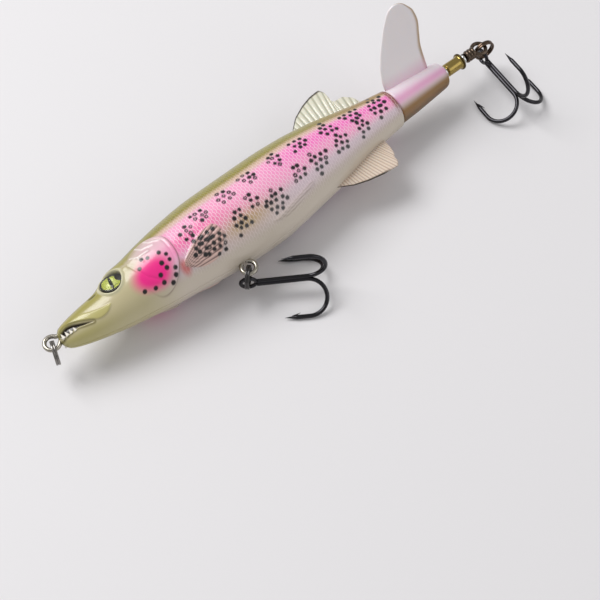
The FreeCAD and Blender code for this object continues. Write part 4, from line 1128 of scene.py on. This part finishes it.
class LureStageSettings(bpy.types.PropertyGroup):
    """Light and view of the lure's stage"""
    floor_colour: bpy.props.FloatVectorProperty(
        name="Floor colour", description="Colour of the floor", subtype="COLOR",
        default=srgb(226, 224, 226), min=0, max=1)
    key_power: bpy.props.FloatProperty(
        name="Key lamp", description="Power of the lamp behind the back", unit="POWER",
        default=7.0, min=0)
    fill_power: bpy.props.FloatProperty(
        name="Fill lamp", description="Power of the lamp on the belly's side", unit="POWER",
        default=1.5, min=0)
    room_light: bpy.props.FloatProperty(
        name="Room light", description="Strength of the even light from all round",
        default=0.44, min=0)
    lens: bpy.props.FloatProperty(
        name="Lens", description="The camera's focal length in millimetres", default=85.2, min=1)


class LURE_OT_materials(bpy.types.Operator):
    """Make the lure's paints, plastics and metals"""
    bl_idname = "lure.materials"
    bl_label = "Materials"

    def execute(self, context):
        make_materials()
        return {"FINISHED"}


class LURE_OT_body(bpy.types.Operator):
    """Make the two painted halves of the body"""
    bl_idname = "lure.body"
    bl_label = "Painted body"

    def execute(self, context):
        build_body()
        return {"FINISHED"}


class LURE_OT_fins(bpy.types.Operator):
    """Make the dorsal and anal fins"""
    bl_idname = "lure.fins"
    bl_label = "Fins"

    def execute(self, context):
        build_fins()
        return {"FINISHED"}


class LURE_OT_head(bpy.types.Operator):
    """Make the eyes and the teeth"""
    bl_idname = "lure.head"
    bl_label = "Eyes and teeth"

    def execute(self, context):
        build_eyes()
        build_teeth()
        return {"FINISHED"}


class LURE_OT_wires(bpy.types.Operator):
    """Make the line tie, the belly hanger and the tail's shaft"""
    bl_idname = "lure.wires"
    bl_label = "Wires"

    def execute(self, context):
        build_body_wires()
        build_shaft()
        return {"FINISHED"}


class LURE_OT_tail(bpy.types.Operator):
    """Make the rotating tail, its sleeve and its bead"""
    bl_idname = "lure.tail"
    bl_label = "Rotating tail"

    def execute(self, context):
        build_tail()
        build_shaft_pieces()
        return {"FINISHED"}


class LURE_OT_hooks(bpy.types.Operator):
    """Make the split rings and the treble hooks"""
    bl_idname = "lure.hooks"
    bl_label = "Rings and hooks"

    def execute(self, context):
        build_split_rings()
        build_hooks()
        return {"FINISHED"}


class LURE_OT_inner(bpy.types.Operator):
    """Finish the pieces inside the body"""
    bl_idname = "lure.inner"
    bl_label = "Inner pieces"

    def execute(self, context):
        dress_inner_pieces()
        return {"FINISHED"}


class LURE_OT_stage(bpy.types.Operator):
    """Set the floor, the lamps and the camera"""
    bl_idname = "lure.stage"
    bl_label = "Stage"

    def execute(self, context):
        build_stage(context.scene.lure_stage)
        return {"FINISHED"}


class LURE_PT_panel(bpy.types.Panel):
    """The lure's steps, in order"""
    bl_idname = "LURE_PT_panel"
    bl_label = "Lure"
    bl_space_type = "VIEW_3D"
    bl_region_type = "UI"
    bl_category = "Lure"

    def draw(self, context):
        for step in STEPS:
            self.layout.operator(step.bl_idname)
        for name in LureStageSettings.__annotations__:
            self.layout.prop(context.scene.lure_stage, name)


STEPS = (LURE_OT_materials, LURE_OT_body, LURE_OT_fins, LURE_OT_head, LURE_OT_wires, LURE_OT_tail,
         LURE_OT_hooks, LURE_OT_inner, LURE_OT_stage)
CLASSES = (LureStageSettings, *STEPS, LURE_PT_panel)


def register():
    for each in CLASSES:
        bpy.utils.register_class(each)
    bpy.types.Scene.lure_stage = bpy.props.PointerProperty(type=LureStageSettings)


def unregister():
    del bpy.types.Scene.lure_stage
    for each in reversed(CLASSES):
        bpy.utils.unregister_class(each)


def main():
    register()
    bpy.ops.lure.materials()
    bpy.ops.lure.body()
    bpy.ops.lure.fins()
    bpy.ops.lure.head()
    bpy.ops.lure.wires()
    bpy.ops.lure.tail()
    bpy.ops.lure.hooks()
    bpy.ops.lure.inner()
    bpy.ops.lure.stage()


if __name__ == "__main__":
    main()
